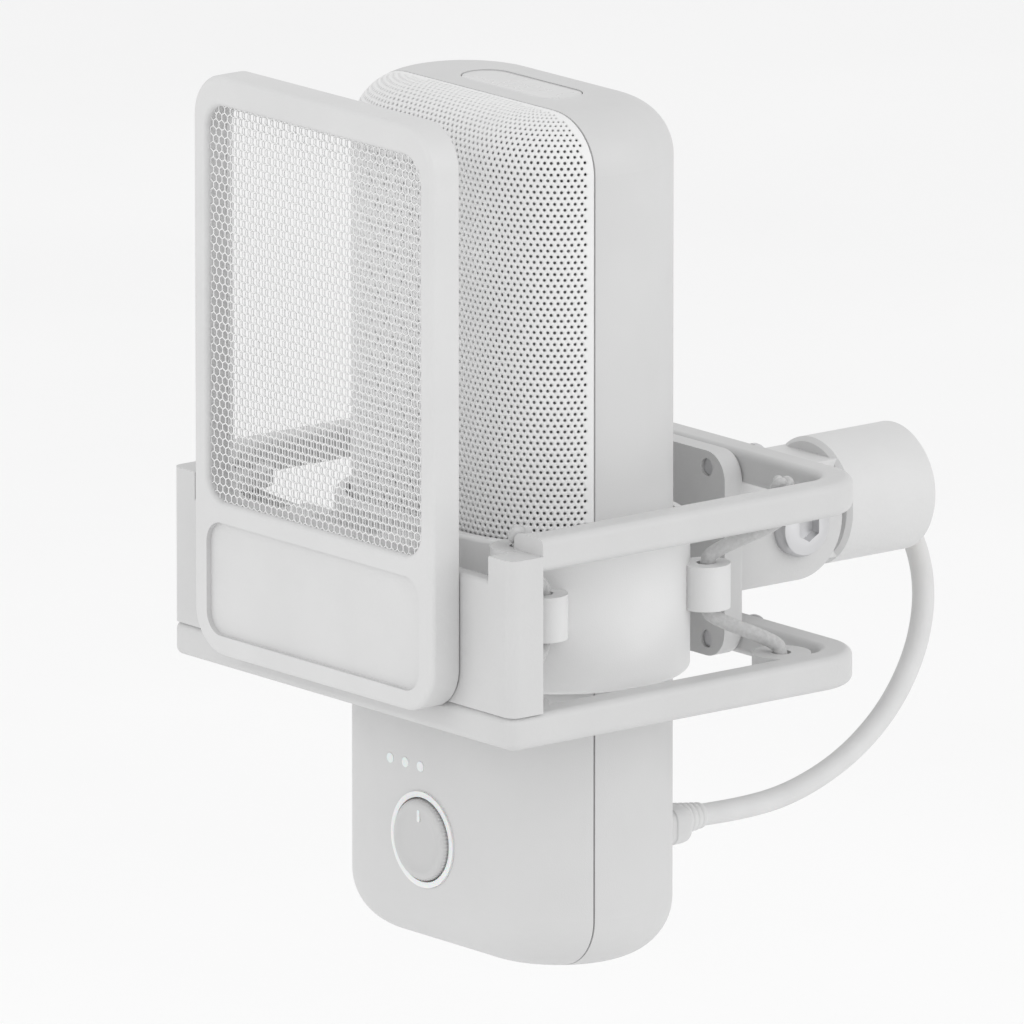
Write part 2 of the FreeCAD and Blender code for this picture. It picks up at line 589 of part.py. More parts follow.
# ---------------------------------------------------------------- dial and lights
def make_dial():
    face = "-mic_depth / 2"
    back = f"{face} - dial_proud + dial_thick"
    knob = prism("dial_knob_body", "XZ", f"{face} - dial_proud", "dial_thick",
                 ("circle", "dial_r", 0, "dial_z"))
    dress("Fillet", knob, 0.7, flat_at("Y", f"{face} - dial_proud"))
    pad(knob, "XZ", f"{back} - 0.5", "hub_long + 0.5", ("circle", "hub_r", 0, "dial_z"))
    shaft_start = f"{back} - 1.5"
    pocket(knob, "XZ", shaft_start, "hub_long + 3", ("circle", "shaft_r", 0, "dial_z"))
    node("dial_knob", knob)
    shaft_end = "encoder_y - 1.6"
    node("dial_shaft", prism("dial_shaft_body", "XZ", shaft_start, f"{shaft_end} - ({shaft_start})",
                             ("circle", "shaft_r", 0, "dial_z")))
    node("dial_plunger", prism("plunger_body", "XZ", "cup_y", "plunger_long",
                               ("circle", "plunger_r", 0, "dial_z"),
                               ("circle", "shaft_r + running", 0, "dial_z")))
    encoder = prism("encoder_box", "XZ", "encoder_y", "board_y - encoder_y",
                    ("rounded", "encoder_side", "encoder_side", 1, 0, "dial_z"))
    pad(encoder, "XZ", "cup_y", "encoder_y - cup_y", ("circle", "cup_r", 0, "dial_z"),
        ("circle", "plunger_r + 0.3", 0, "dial_z"))
    node("encoder_body", encoder)
    ring_r = "dial_r + ring_gap"
    node("light_ring", prism("light_ring_body", "XZ", f"{face} - 0.4", 3.4,
                             ("circle", f"{ring_r} + ring_wall", 0, "dial_z"),
                             ("circle", ring_r, 0, "dial_z")))
    pipes = rods("light_pipe", "Y", "light_r", f"{face} - 0.1", 17, LIGHTS)
    node("indicator_lights", group("light_pipes", pipes))


# ---------------------------------------------------------------- cradle
def make_cradle():
    inner = ("sleeve_width - 2 * sleeve_wall", "sleeve_depth - 2 * sleeve_wall")
    height = "sleeve_high - sleeve_low"
    tube = prism("sleeve_tube", "XY", "sleeve_low", height, ("stadium", "sleeve_width", "sleeve_depth"))
    dress("Fillet", tube, 0.8, flat_at("Z", "sleeve_low", "sleeve_high"))
    places = [(f"{sx}lug_x", f"{sy}lug_y") for sx, sy in CORNERS]
    lugs = rods("lug", "Z", "lug_r", "lug_z - lug_tall / 2", "lug_tall", places)
    holes = rods("lug_hole", "Z", "lug_hole_r", "lug_z - lug_tall", "2 * lug_tall", places)
    bore = prism("sleeve_bore", "XY", "sleeve_low - 5", f"{height} + 10", ("stadium", *inner))
    node("cradle_sleeve", cut("sleeve_cut", join("sleeve_with_lugs", tube, *lugs), bore, *holes))

    gap = prism("pad_ring", "XY", "sleeve_low + 3", f"{height} - 6", ("stadium", *inner),
                ("stadium", "mic_width", "mic_depth"))
    zones = join(
        "pad_zones",
        block("pad_zone_x", ("-mic_width", "mic_width"), (-6, "-seam_y - 1"), (-40, 40)),
        block("pad_zone_y", (-9, 9), ("-mic_width", "mic_width"), (-40, 40)),
    )
    node("cradle_pads", meet("pads", gap, zones))


# ---------------------------------------------------------------- shock mount frame
def frame_ring(name, low, height, soften=True):
    """The frame's ring of bars from low up by height, round at the rear corners and crisp at the front."""
    depth, middle = "(frame_back - frame_front)", "(frame_back + frame_front) / 2"
    body = prism(name, "XY", low, height, ("box", "frame_width", depth, 0, middle),
                 ("rounded", "frame_width - 2 * frame_bar", f"{depth} - 2 * frame_bar",
                  "frame_round - frame_bar", 0, middle))
    sides = flat_at("X", "frame_width / 2", "-frame_width / 2")
    for end, radius in (("frame_back", "frame_round"), ("frame_front", "frame_edge")):
        dress("Fillet", body, radius, lambda e: sides(e) and flat_at("Y", end)(e))
    if soften:
        dress("Fillet", body, 1.4, flat_at("Z", low, f"{low} + {height}"))
    return body


def eyelets(name, base, low):
    """Adds the four pierced corner eyelets for the elastic cords to a ring."""
    places = [(f"{sx}eyelet_x", f"{sy}eyelet_y") for sx, sy in CORNERS]
    discs = rods(f"{name}_disc", "Z", "eyelet_r", low, "eyelet_tall", places)
    holes = rods(f"{name}_hole", "Z", "lug_hole_r", f"{low} - 2", "eyelet_tall + 4", places)
    screws = rods(f"{name}_screw", "Y", "screw_r", "frame_back - frame_bar - 1", 20, BOLTS)
    return cut(f"{name}_pierced", join(f"{name}_joined", base, *discs), *holes, *screws)


def make_frame():
    front_end = "frame_front + post_depth"
    ahead = ("2 * frame_front", front_end)
    ring = frame_ring("upper_ring", "upper_z", "frame_bar")
    open_front = block("open_front", ("-frame_width", "frame_width"), ahead, (-50, 50))
    node("upper_frame", eyelets("upper", cut("upper_bars", ring, open_front), "upper_z"))
    low_top = "lower_z + frame_bar"
    low_ring = frame_ring("lower_ring", "lower_z", "frame_bar")
    node("lower_frame", eyelets("lower", low_ring, f"{low_top} - eyelet_tall"))

    inside = "frame_width / 2 - post_width"
    column = frame_ring("post_ring", low_top, f"post_top - ({low_top})", soften=False)
    zones = join(
        "post_zones",
        block("post_right", (inside, "frame_width"), ahead, (-50, 50)),
        block("post_left", ("-frame_width", f"-({inside})"), ahead, (-50, 50)),
    )
    seats = rods("post_seat", "Z", "eyelet_r", "upper_z", "frame_bar",
                 [(f"{sx}eyelet_x", "-eyelet_y") for sx in ("", "-")])
    node("corner_posts", cut("posts_cut", meet("posts", column, zones), *seats))

    plate = prism("plate_body", "XZ", "frame_front", "plate_thick",
                  ("box", f"2 * ({inside})", f"plate_top - ({low_top})", 0, f"(plate_top + {low_top}) / 2"))
    dress("Fillet", plate, 1, lambda e: flat_at("Z", "plate_top")(e) and e.BoundBox.XLength > 50)
    node("front_plate", plate)

    for sx, side in (("", "right"), ("-", "left")):
        for sy, end in (("-", "front"), ("", "rear")):
            node(f"elastic_{end}_{side}", elastic(f"cord_{end}_{side}", size(f"{sx}1"), size(f"{sy}1")))


def elastic(name, side, end):
    """One suspension cord: knotted in both frame eyelets and threaded through the cradle's lug."""
    outer = (side * size("eyelet_x"), end * size("eyelet_y"))
    inner = (side * size("lug_x"), end * size("lug_y"))
    upper, lower = size("upper_z"), size("lower_z + frame_bar")
    lug_top, lug_low = size("lug_z + lug_tall / 2"), size("lug_z - lug_tall / 2")
    bend, knot = 1.5, size("knot_r")
    high = upper + size("eyelet_tall") + knot - 0.4
    low = lower - size("eyelet_tall") - knot + 0.4
    points = [
        Vector(*outer, high), Vector(*outer, upper - bend), Vector(*inner, lug_top + bend),
        Vector(*inner, lug_low - bend), Vector(*outer, lower + bend), Vector(*outer, low),
    ]
    cord = sweep_tube(rounded_path(points, bend=2.2), size("elastic_r"))
    knots = [Part.makeSphere(knot, p) for p in (points[0], points[-1])]
    feature = doc.addObject("Part::Feature", name)
    feature.Shape = cord.multiFuse(knots)
    return feature


# ---------------------------------------------------------------- rear bracket, neck and tilt lock
def make_bracket():
    back = "frame_back - frame_bar - spine_thick"
    middle = "(spine_high + spine_low) / 2"
    bracket = prism("bracket_body", "XZ", back, "spine_thick",
                    ("rounded", "spine_width", "spine_high - spine_low", 5, 0, middle))
    dress("Fillet", bracket, 1, flat_at("Y", f"{back} + spine_thick"))
    reach = f"pivot_y - ({back})"
    for start in ("ear_in", "-ear_in - ear_thick"):
        pad(bracket, "YZ", start, "ear_thick",
            ("stadium", f"{reach} + 2 * ear_r", "2 * ear_r", f"({reach}) / 2 + {back}", "-mic_z"))
    pocket(bracket, "YZ", "-spine_width", "2 * spine_width", ("circle", "bolt_r", "pivot_y", "-mic_z"))
    in_front = block("bracket_front", ("-frame_width", "frame_width"), (0, back), (-90, 90))
    holes = rods("bracket_hole", "Y", "screw_r", back, 20, BOLTS)
    node("rear_bracket", cut("bracket_trimmed", bracket, in_front, *holes))

    heads = rods("bolt_head", "Y", "screw_head_r", "frame_back", "screw_head", BOLTS)
    shanks = rods("bolt_shank", "Y", "screw_r", "frame_back - frame_bar - screw_deep",
                  "frame_bar + screw_deep + 1", BOLTS)
    bolts = [join(f"frame_bolt_{i}", *pair) for i, pair in enumerate(zip(heads, shanks))]
    node("frame_bolts", group("frame_bolt_group", bolts))


def make_neck():
    shoulder = "pivot_y + neck_start"
    neck = prism("neck_body", "XZ", shoulder, f"-mic_y - ({shoulder})", ("circle", "neck_r", 0, "-mic_z"))
    dress("Chamfer", neck, 0.8, flat_at("Y", shoulder, "-mic_y"))
    pad(neck, "YZ", "-eye_half", "2 * eye_half",
        ("stadium", "neck_start + tongue_deep + 2 * eye_r", "2 * eye_r",
         "pivot_y + (neck_start + tongue_deep) / 2", "-mic_z"))
    pocket(neck, "YZ", "-neck_r", "2 * neck_r", ("circle", "bolt_r + running", "pivot_y", "-mic_z"))
    pocket(neck, "XZ", "-mic_y - thread_deep", "2 * thread_deep", ("circle", "insert_r", 0, "-mic_z"))
    node("neck", neck)
    node("thread_insert", prism("insert_body", "XZ", "-mic_y - thread_deep", "thread_deep",
                                ("circle", "insert_r", 0, "-mic_z"), ("circle", "thread_r", 0, "-mic_z")))


def make_tilt_lock():
    pivot = ("pivot_y", "-mic_z")
    ear_out = "ear_in + ear_thick"
    inner = f"-({ear_out}) - knob_gap"
    outer = f"{inner} - knob_thick"
    knob = prism("tilt_knob_body", "YZ", outer, "knob_thick", ("circle", "knob_r", *pivot))
    dress("Fillet", knob, 1.5, flat_at("X", outer))
    dress("Fillet", knob, 0.6, flat_at("X", inner))
    notches = []
    for i in range(KNOB_NOTCHES):
        angle = 2 * math.pi * i / KNOB_NOTCHES
        notches.append(("circle", "notch_r", f"pivot_y + (knob_r + notch_out) * {math.cos(angle):.5f}",
                        f"(knob_r + notch_out) * {math.sin(angle):.5f} - mic_z"))
    pocket(knob, "YZ", f"{outer} - 1", "knob_thick + 2", *notches)
    core = f"{outer} + knob_cap"
    pocket(knob, "YZ", core, "knob_thick", ("circle", "knob_core_r", *pivot))
    node("tilt_knob", knob)
    node("knob_insert", prism("knob_insert_body", "YZ", core, "knob_thick - knob_cap",
                              ("circle", "knob_core_r", *pivot), ("circle", "bolt_r + running", *pivot)))

    bolt_end = f"{core} + 1.5"
    bolt = prism("pivot_bolt_body", "YZ", bolt_end, f"{ear_out} - ({bolt_end})", ("circle", "bolt_r", *pivot))
    pad(bolt, "YZ", ear_out, "bolt_head", ("circle", "bolt_head_r", *pivot))
    dress("Fillet", bolt, 0.8, flat_at("X", f"{ear_out} + bolt_head"))
    pocket(bolt, "YZ", f"{ear_out} + 1", "bolt_head", ("circle", 2.3, *pivot))
    node("pivot_bolt", bolt)
    washers = [
        prism(f"washer_{name}", "YZ", start, "ear_in - eye_half - washer_gap",
              ("circle", "washer_r", *pivot), ("circle", "bolt_r", *pivot))
        for name, start in (("right", "eye_half + washer_gap"), ("left", "-ear_in"))
    ]
    node("pivot_washers", group("washers", washers))


# ---------------------------------------------------------------- pop filter
def make_filter():
    front = "filter_back - filter_deep"
    window = ("rounded", "filter_width - 2 * filter_side", "filter_top - filter_head - filter_sill", 4.5,
              0, "(filter_top - filter_head + filter_sill) / 2")
    frame = prism("filter_body", "XZ", front, "filter_deep",
                  ("rounded", "filter_width", "filter_top - filter_low", "filter_round",
                   0, "(filter_top + filter_low) / 2"), window)
    dress("Fillet", frame, 1, flat_at("Y", front))
    low, high = "filter_low + filter_side", "filter_sill - filter_side"
    pocket(frame, "XZ", f"{front} - 1", "filter_deep - apron_thick + 1",
           ("rounded", "filter_width - 2 * filter_side", f"{high} - ({low})", 4, 0, f"({high} + {low}) / 2"))
    node("filter_frame", frame)
    node("filter_mesh_front", prism("mesh_front_body", "XZ", f"{front} + mesh_inset", "mesh_thick", window))
    node("filter_mesh_rear", prism("mesh_rear_body", "XZ", "filter_back - mesh_inset - mesh_thick",
                                   "mesh_thick", window))
    hooks = []
    plate_back = "frame_front + plate_thick"
    for sign in ("", "-"):
        span = (f"{sign}hook_x - hook_width / 2", f"{sign}hook_x + hook_width / 2")
        tag = "right" if sign == "" else "left"
        leg_start, arm_start = f"{plate_back} + hook_gap", "plate_top + hook_gap"
        arm = block(f"hook_arm_{tag}", span, ("filter_back", f"{leg_start} + hook_thick"),
                    (arm_start, f"{arm_start} + hook_thick"))
        leg = block(f"hook_leg_{tag}", span, (leg_start, f"{leg_start} + hook_thick"),
                    ("plate_top - hook_drop", f"{arm_start} + hook_thick / 2"))
        hooks.append(join(f"hook_{tag}", arm, leg))
    node("filter_hooks", group("hooks", hooks))


# ---------------------------------------------------------------- USB lead
def rounded_path(points, bend=None):
    """Straight runs joined by tangent arcs: as large as the shorter run allows, or of radius bend."""
    edges, start = [], points[0]
    for before, corner, after in zip(points, points[1:], points[2:]):
        back, ahead = before - corner, after - corner
        half_turn = (math.pi - back.getAngle(ahead)) / 2
        shorter = min(back.Length, ahead.Length)
        reach = ARC_SHARE * shorter if bend is None else bend * math.tan(half_turn)
        radius = reach / math.tan(half_turn)
        back.normalize()
        ahead.normalize()
        inward = back + ahead
        inward.normalize()
        first, last = corner + back * reach, corner + ahead * reach
        middle = corner + inward * (radius / math.cos(half_turn) - radius)
        edges.append(Part.LineSegment(start, first).toShape())
        edges.append(Part.Arc(first, middle, last).toShape())
        start = last
    edges.append(Part.LineSegment(start, points[-1]).toShape())
    return edges


def sweep_tube(edges, radius):
    """A solid round tube along tangent edges, with its volume compared with section times length."""
    spine = Part.Wire(edges)
    start, heading = edges[0].valueAt(edges[0].FirstParameter), edges[0].tangentAt(edges[0].FirstParameter)
    ring = Part.Wire([Part.Circle(start, heading, radius).toShape()])
    tube = spine.makePipeShell([ring], True, False)
    expected = math.pi * radius ** 2 * spine.Length
    if abs(tube.Volume - expected) > 0.02 * expected:
        raise RuntimeError(f"tube volume {tube.Volume:.0f} is not {expected:.0f}")
    return tube


def cord_piece(name, route, radius):
    edges = rounded_path([Vector(*p) for p in route])
    radii = [e.Curve.Radius for e in edges if hasattr(e.Curve, "Radius")]
    print(f"{name}: length {sum(e.Length for e in edges):.0f} mm, radii", *(f"{r:.0f}" for r in radii))
    feature = doc.addObject("Part::Feature", f"{name}_tube")
    feature.Shape = sweep_tube(edges, radius)
    node(name, feature)


def cone(name, wide, narrow, length, place, turn):
    shape = doc.addObject("Part::Cone", name)
    bind(shape, Radius1=wide, Radius2=narrow, Height=length)
    shape.Placement = Placement(Vector(), turn)
    return group(f"{name}_group", [put(shape, *place)])


def make_lead():
    node("cable_plug_tip", prism("plug_tip_body", "XZ", "plug_start - tip_long", "tip_long",
                                 ("stadium", "port_wide - 1", "port_tall - 1", 0, "usb_z")))
    plug_end = "plug_start + plug_long"
    plug = prism("plug_body", "XZ", "plug_start", "plug_long",
                 ("rounded", "plug_wide", "plug_tall", 2.6, 0, "usb_z"))
    dress("Fillet", plug, 1, flat_at("Y", "plug_start", plug_end))
    node("cable_plug", plug)
    backward = Rotation(Vector(1, 0, 0), -90)
    node("strain_relief", cone("relief", "cord_r + 1.1", "cord_r + 0.3", "relief_long",
                               (0, plug_end, "usb_z"), backward))
    cord_piece("usb_cable", LEAD_ROUTE, size("cord_r"))
    cord_piece("cable_tail", TAIL_ROUTE, size("cord_r"))

    thick = "2 * hank_layers * cord_r"
    inside = "2 * (hank_fold - cord_r)"
    outside = f"{inside} + 4 * hank_rings * cord_r"
    hank = prism("hank_body", "YZ", f"hank_x - ({thick}) / 2", thick,
                 ("upright", outside, f"{outside} + hank_run", "hank_y", "hank_z"),
                 ("upright", inside, f"{inside} + hank_run", "hank_y", "hank_z"))
    node("cable_hank", hank)

    x, y, tail_end = TAIL_ROUTE[-1]
    downward = Rotation(Vector(1, 0, 0), 180)
    node("far_strain_relief", cone("far_relief_cone", "cord_r + 0.3", "cord_r + 1.3", "far_relief",
                                   (x, y, tail_end), downward))
    top = f"{tail_end} - far_relief"
    low = f"{top} - far_long"
    far_plug = prism("far_plug_body", "XY", low, "far_long", ("rounded", "far_thick", "far_wide", 2, x, y))
    dress("Fillet", far_plug, 1, flat_at("Z", low, top))
    node("far_plug", far_plug)
    node("far_plug_shell", prism("far_shell_body", "XY", f"{low} - far_shell_long", "far_shell_long",
                                 ("rounded", "far_shell_thick", "far_shell_wide", 0.5, x, y)))


def make_tie():
    """A strap round the hank's waist with a loop that hangs on the lower ring's left bar."""
    wide, deep = "hank_layers * cord_r + tie_gap", "hank_fold + 3 * cord_r + tie_gap"
    level = "lower_z + frame_bar / 2"
    tall = (f"{level} - tie_tall / 2", f"{level} + tie_tall / 2")
    band_out = block("band_out", (f"hank_x - ({wide}) - tie_wall", f"hank_x + {wide} + tie_wall"),
                     (f"hank_y - ({deep}) - tie_wall", f"hank_y + {deep} + tie_wall"), tall)
    band_in = block("band_in", (f"hank_x - ({wide})", f"hank_x + {wide}"),
                    (f"hank_y - ({deep})", f"hank_y + {deep}"), (-60, 20))
    side, bar_in = f"hank_x + {wide}", "-frame_width / 2 + frame_bar + tie_loop_gap"
    under, over = "lower_z - tie_loop_gap", "lower_z + frame_bar + tie_loop_gap"
    loop_out = block("loop_out", (side, f"{bar_in} + tie_wall"),
                     ("tie_loop_y - tie_loop_wide / 2", "tie_loop_y + tie_loop_wide / 2"),
                     (f"{under} - tie_wall", f"{over} + tie_wall"))
    loop_in = block("loop_in", (f"{side} + tie_wall", bar_in), (0, 30), (under, over))
    node("cable_tie", join("tie", cut("band", band_out, band_in), cut("loop", loop_out, loop_in, band_in)))


# ---------------------------------------------------------------- build and export
def export_nodes():
    doc.recompute()
    for obj in doc.Objects:
        if {"Invalid", "Error"} & set(obj.State):
            raise RuntimeError(f"{obj.Label} failed: {obj.State}")
    for name, obj in nodes.items():
        if obj.Shape.isNull() or not obj.Shape.isValid() or obj.Shape.Volume < 1:
            raise RuntimeError(f"{name} has no valid solid")
    os.makedirs("parts", exist_ok=True)
    for name, obj in nodes.items():
        obj.Shape.exportStep(os.path.join("parts", f"{name}.step"))
    print(len(nodes), "sub-parts")


fill_sheet()
make_shells()
make_insides()
make_dial()
make_cradle()
make_frame()
make_bracket()
make_neck()
make_tilt_lock()
make_filter()
make_lead()
make_tie()
export_nodes()
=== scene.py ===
"""Looks of a side-address condenser microphone in its shock mount, with pop filter and USB lead.

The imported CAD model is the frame: metres, +Z up, origin at the mouth of the boom thread, and the microphone's
front faces -Y. Fine pieces are drawn in millimetres from the microphone's centre and carried into that frame.
"""
import json
import math

import bmesh
import bpy
import numpy as np
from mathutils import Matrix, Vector


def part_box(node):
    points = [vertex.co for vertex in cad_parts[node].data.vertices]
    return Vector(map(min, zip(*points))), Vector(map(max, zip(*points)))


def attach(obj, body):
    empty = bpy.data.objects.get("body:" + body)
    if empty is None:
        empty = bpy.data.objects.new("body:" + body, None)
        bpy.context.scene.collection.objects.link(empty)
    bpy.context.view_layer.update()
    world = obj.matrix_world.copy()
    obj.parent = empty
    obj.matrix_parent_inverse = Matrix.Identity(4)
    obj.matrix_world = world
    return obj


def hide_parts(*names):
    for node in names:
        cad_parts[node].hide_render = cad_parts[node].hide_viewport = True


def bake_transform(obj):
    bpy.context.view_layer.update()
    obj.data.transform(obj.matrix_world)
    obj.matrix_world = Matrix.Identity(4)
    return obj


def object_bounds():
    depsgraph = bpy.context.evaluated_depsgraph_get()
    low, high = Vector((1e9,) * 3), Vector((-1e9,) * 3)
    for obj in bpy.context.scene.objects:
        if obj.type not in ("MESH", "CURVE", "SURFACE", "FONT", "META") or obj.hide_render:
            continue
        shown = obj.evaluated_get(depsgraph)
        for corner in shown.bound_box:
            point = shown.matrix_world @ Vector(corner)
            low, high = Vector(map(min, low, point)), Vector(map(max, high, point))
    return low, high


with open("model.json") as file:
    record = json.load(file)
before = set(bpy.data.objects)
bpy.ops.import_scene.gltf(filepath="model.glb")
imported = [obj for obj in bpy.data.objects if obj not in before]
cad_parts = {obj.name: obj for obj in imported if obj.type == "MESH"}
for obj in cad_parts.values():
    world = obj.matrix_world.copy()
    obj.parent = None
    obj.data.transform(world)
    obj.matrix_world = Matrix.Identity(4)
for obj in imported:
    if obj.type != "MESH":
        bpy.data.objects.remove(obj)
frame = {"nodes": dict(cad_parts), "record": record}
CAD_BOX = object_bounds()

MM = 0.001
RECORD = frame["record"]
BODY = {node: body for body, nodes in RECORD["behaviour"]["bodies"].items() for node in nodes}
SLOT = {part["node"]: part["material_slot"] for part in RECORD["subparts"]}

# Camera and stage
AZIMUTH, ELEVATION = 51.0, 13.3
CAMERA_DISTANCE, VIEW_WIDTH, SENSOR = 4.0, 0.1795, 36.0
FLOOR_DROP = 0.16

# Microphone body, millimetres from its centre
BODY_HALF, BODY_ROUND, TOP_ROUND = 13.0, 20.0, 10.0
SEAM_Y, SPLIT_Z = -7.3, -2.0
GRILLE_WALL, GRILLE_PITCH, GRILLE_HOLE, GRILLE_EDGE, GRILLE_OVER = 0.6, 1.2, 0.28, 1.2, 16
MESH_PITCH, MESH_BAR, MESH_THICK, MESH_TUCK, MESH_CORNER = 1.6, 0.17, 0.16, 0.6, 4.5

# Elastic suspension: share of the way from the frame's eyelet to the cradle's lug, and height
SUSPENSION = [
    (0, 7.5), (0, 2.2), (0.1, 0.4), (0.9, -3.9), (1, -5.7),
    (1, -14.3), (0.9, -16.1), (0.1, -20.4), (0, -22.2), (0, -27.5),
]
EYELET, LUG, ELASTIC_R = (38.5, 29.5), (31.3, 18.3), 1.3
KNOT_SCALE, KNOT_CORD_R = 0.42, 0.95

# USB lead: the stretch from the plug to the hank, then the tail from the hank to the far plug
LEAD_ROUTE = [
    (0, 43, -61.5), (0, 55, -62), (-0.4, 67.5, -60.2), (-1.2, 79.9, -55.4), (-2.2, 90.1, -47.6),
    (-3.6, 97, -37.2), (-7.4, 100.7, -26.5), (-14.5, 101.2, -17), (-23.5, 98.5, -11), (-33.5, 93, -9.5),
    (-42, 84.8, -12), (-48, 76.2, -18), (-51.2, 68.8, -27), (-52, 63.5, -38), (-52, 59.5, -50),
]
TAIL_ROUTE = [(-58, 50.6, 6), (-58, 48.2, -2), (-58, 44, -9), (-58, 40.8, -16), (-58, 40, -23)]
CORD_R = 2.0
HANK_CENTRE, HANK_RUN, HANK_FOLD, HANK_LAYERS = (-58.0, 40.0, -22.0), 70.0, 16.0, 4
FOLD_STEPS, LAYER_SPACING, LOOSENESS = 6, 1.01, 0.9

# Plugs: overmould width and height, then the relief's wide end, narrow end and length
PLUG_SIZE, PLUG_RELIEF = (12.0, 7.0), (3.1, 2.3, 6)
FAR_PLUG_SIZE, FAR_RELIEF = (7.6, 15.0), (3.3, 2.3, 7)
PLUG_CORNER, TONGUE_OFFSET = 2.2, 0.9

# Tie: height and half width of its band, thickness, and where its loop hangs on the frame's bar
TIE_Z, TIE_HALF, TIE_THICK = -25.5, 5, 1.4
LOOP_Y, LOOP_HALF, LOOP_SIDE, LOOP_CORNER, BAR_HALF = 17.25, 4.25, 7.4, 2.0, 3

# Socket screws: head radius, head thickness, socket and shank radius
FRAME_SCREW, PIVOT_BOLT = (2.7, 1.8, 1.4, 1.6), (5.6, 3.0, 2.6, 3.0)

# Boom thread: insert radius, crest and root radius, and pitch
THREAD_OUTER, THREAD_MAJOR, THREAD_MINOR, THREAD_PITCH = 9.3, 7.94, 7.4, 25.4 / 27


def middle(*nodes):
    """The centre of the box round some CAD nodes."""
    boxes = [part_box(node) for node in nodes]
    low = [min(box[0][axis] for box in boxes) for axis in range(3)]
    high = [max(box[1][axis] for box in boxes) for axis in range(3)]
    return (Vector(low) + Vector(high)) / 2


MIC = middle("rear_housing", "front_cover")


def to_frame(points):
    """Millimetres from the microphone's centre, carried into the frame."""
    return np.asarray(points, float).reshape(-1, 3) * MM + np.array(MIC)


def spot(x, y, z):
    return Vector(to_frame((x, y, z))[0])


# ---------------------------------------------------------------- camera, light and stage
def away_from(target, azimuth, elevation, distance):
    """The point at a distance from target, seen from it at that azimuth and elevation in degrees."""
    a, e = math.radians(azimuth), math.radians(elevation)
    back = Vector((math.sin(a) * math.cos(e), -math.cos(a) * math.cos(e), math.sin(e)))
    return target + back * distance


def add_object(name, data):
    made = bpy.data.objects.new(name, data)
    bpy.context.scene.collection.objects.link(made)
    return made


def look_at(made, target):
    made.rotation_euler = (target - made.location).to_track_quat("-Z", "Y").to_euler()


def make_camera():
    lens = bpy.data.cameras.new("camera")
    lens.sensor_width = SENSOR
    lens.lens = SENSOR * CAMERA_DISTANCE / VIEW_WIDTH
    camera = add_object("camera", lens)
    camera.location = away_from(MIC, AZIMUTH, ELEVATION, CAMERA_DISTANCE)
    look_at(camera, MIC)
    bpy.context.scene.camera = camera


def make_light(name, azimuth, elevation, distance, side, watts):
    lamp = bpy.data.lights.new(name, "AREA")
    lamp.size = side
    lamp.energy = watts
    light = add_object(name, lamp)
    light.location = away_from(MIC, azimuth, elevation, distance)
    look_at(light, MIC)


def make_stage():
    scene = bpy.context.scene
    scene.view_settings.view_transform = "Standard"
    world = bpy.data.worlds.new("studio")
    world.use_nodes = True
    world.node_tree.nodes["Background"].inputs["Strength"].default_value = 0.92
    world.node_tree.nodes["Background"].inputs["Color"].default_value = (1, 1, 1, 1)
    scene.world = world
    make_light("key", azimuth=108, elevation=24, distance=1.8, side=1.4, watts=8.5)
    make_light("fill", azimuth=-12, elevation=18, distance=1.8, side=1.4, watts=7)

    half, level = 20.0, CAD_BOX[0].z - FLOOR_DROP
    mesh = bpy.data.meshes.new("floor")
    corners = [(-half, -half, level), (half, -half, level), (half, half, level), (-half, half, level)]
    mesh.from_pydata(corners, [], [(0, 1, 2, 3)])
    floor = add_object("floor", mesh)
    mesh.materials.append(plain_material("floor_paint", 0.94, 0.8, grain=(900, 0.02), mottle=(6, 0.01)))


# ---------------------------------------------------------------- materials
def plain_material(name, colour, roughness, metallic=0.0, grain=None, mottle=None, worn=None, **sockets):
    """A Principled material, with optional noise: grain is (scale, depth in mm) for bump, mottle is
    (scale, share) for colour, and worn is (scale, spread) for roughness."""
    material = bpy.data.materials.new(name)
    material.use_nodes = True
    tree = material.node_tree
    shader = tree.nodes["Principled BSDF"]
    colour = (colour,) * 3 if isinstance(colour, (int, float)) else tuple(colour)
    shader.inputs["Base Color"].default_value = (*colour, 1)
    shader.inputs["Roughness"].default_value = roughness
    shader.inputs["Metallic"].default_value = metallic
    for socket, value in sockets.items():
        shader.inputs[socket.replace("_", " ")].default_value = value
    material.diffuse_color = (*colour, 1)
    if mottle:
        scale, share = mottle
        dark, light = ((*(c * (1 + sign * share) for c in colour), 1) for sign in (-1, 1))
        mix = tree.nodes.new("ShaderNodeMix")
        mix.data_type = "RGBA"
        mix.inputs["A"].default_value, mix.inputs["B"].default_value = dark, light
        tree.links.new(spread_noise(tree, scale), mix.inputs["Factor"])
        tree.links.new(mix.outputs["Result"], shader.inputs["Base Color"])
    if worn:
        scale, spread = worn
        ramp = tree.nodes.new("ShaderNodeMapRange")
        ramp.inputs["To Min"].default_value = roughness - spread
        ramp.inputs["To Max"].default_value = roughness + spread
        tree.links.new(spread_noise(tree, scale), ramp.inputs["Value"])
        tree.links.new(ramp.outputs["Result"], shader.inputs["Roughness"])
    if grain:
        scale, depth = grain
        add_bump(tree, shader, noise(tree, scale, 2).outputs["Fac"], depth)
    return material


def noise(tree, scale, detail, stretch=(1, 1, 1)):
    """Noise in the piece's own metres, so that scale is in features per metre."""
    place = tree.nodes.new("ShaderNodeTexCoord")
    mapping = tree.nodes.new("ShaderNodeMapping")
    mapping.inputs["Scale"].default_value = stretch
    texture = tree.nodes.new("ShaderNodeTexNoise")
    texture.inputs["Scale"].default_value = scale
    texture.inputs["Detail"].default_value = detail
    tree.links.new(place.outputs["Object"], mapping.inputs["Vector"])
    tree.links.new(mapping.outputs["Vector"], texture.inputs["Vector"])
    return texture


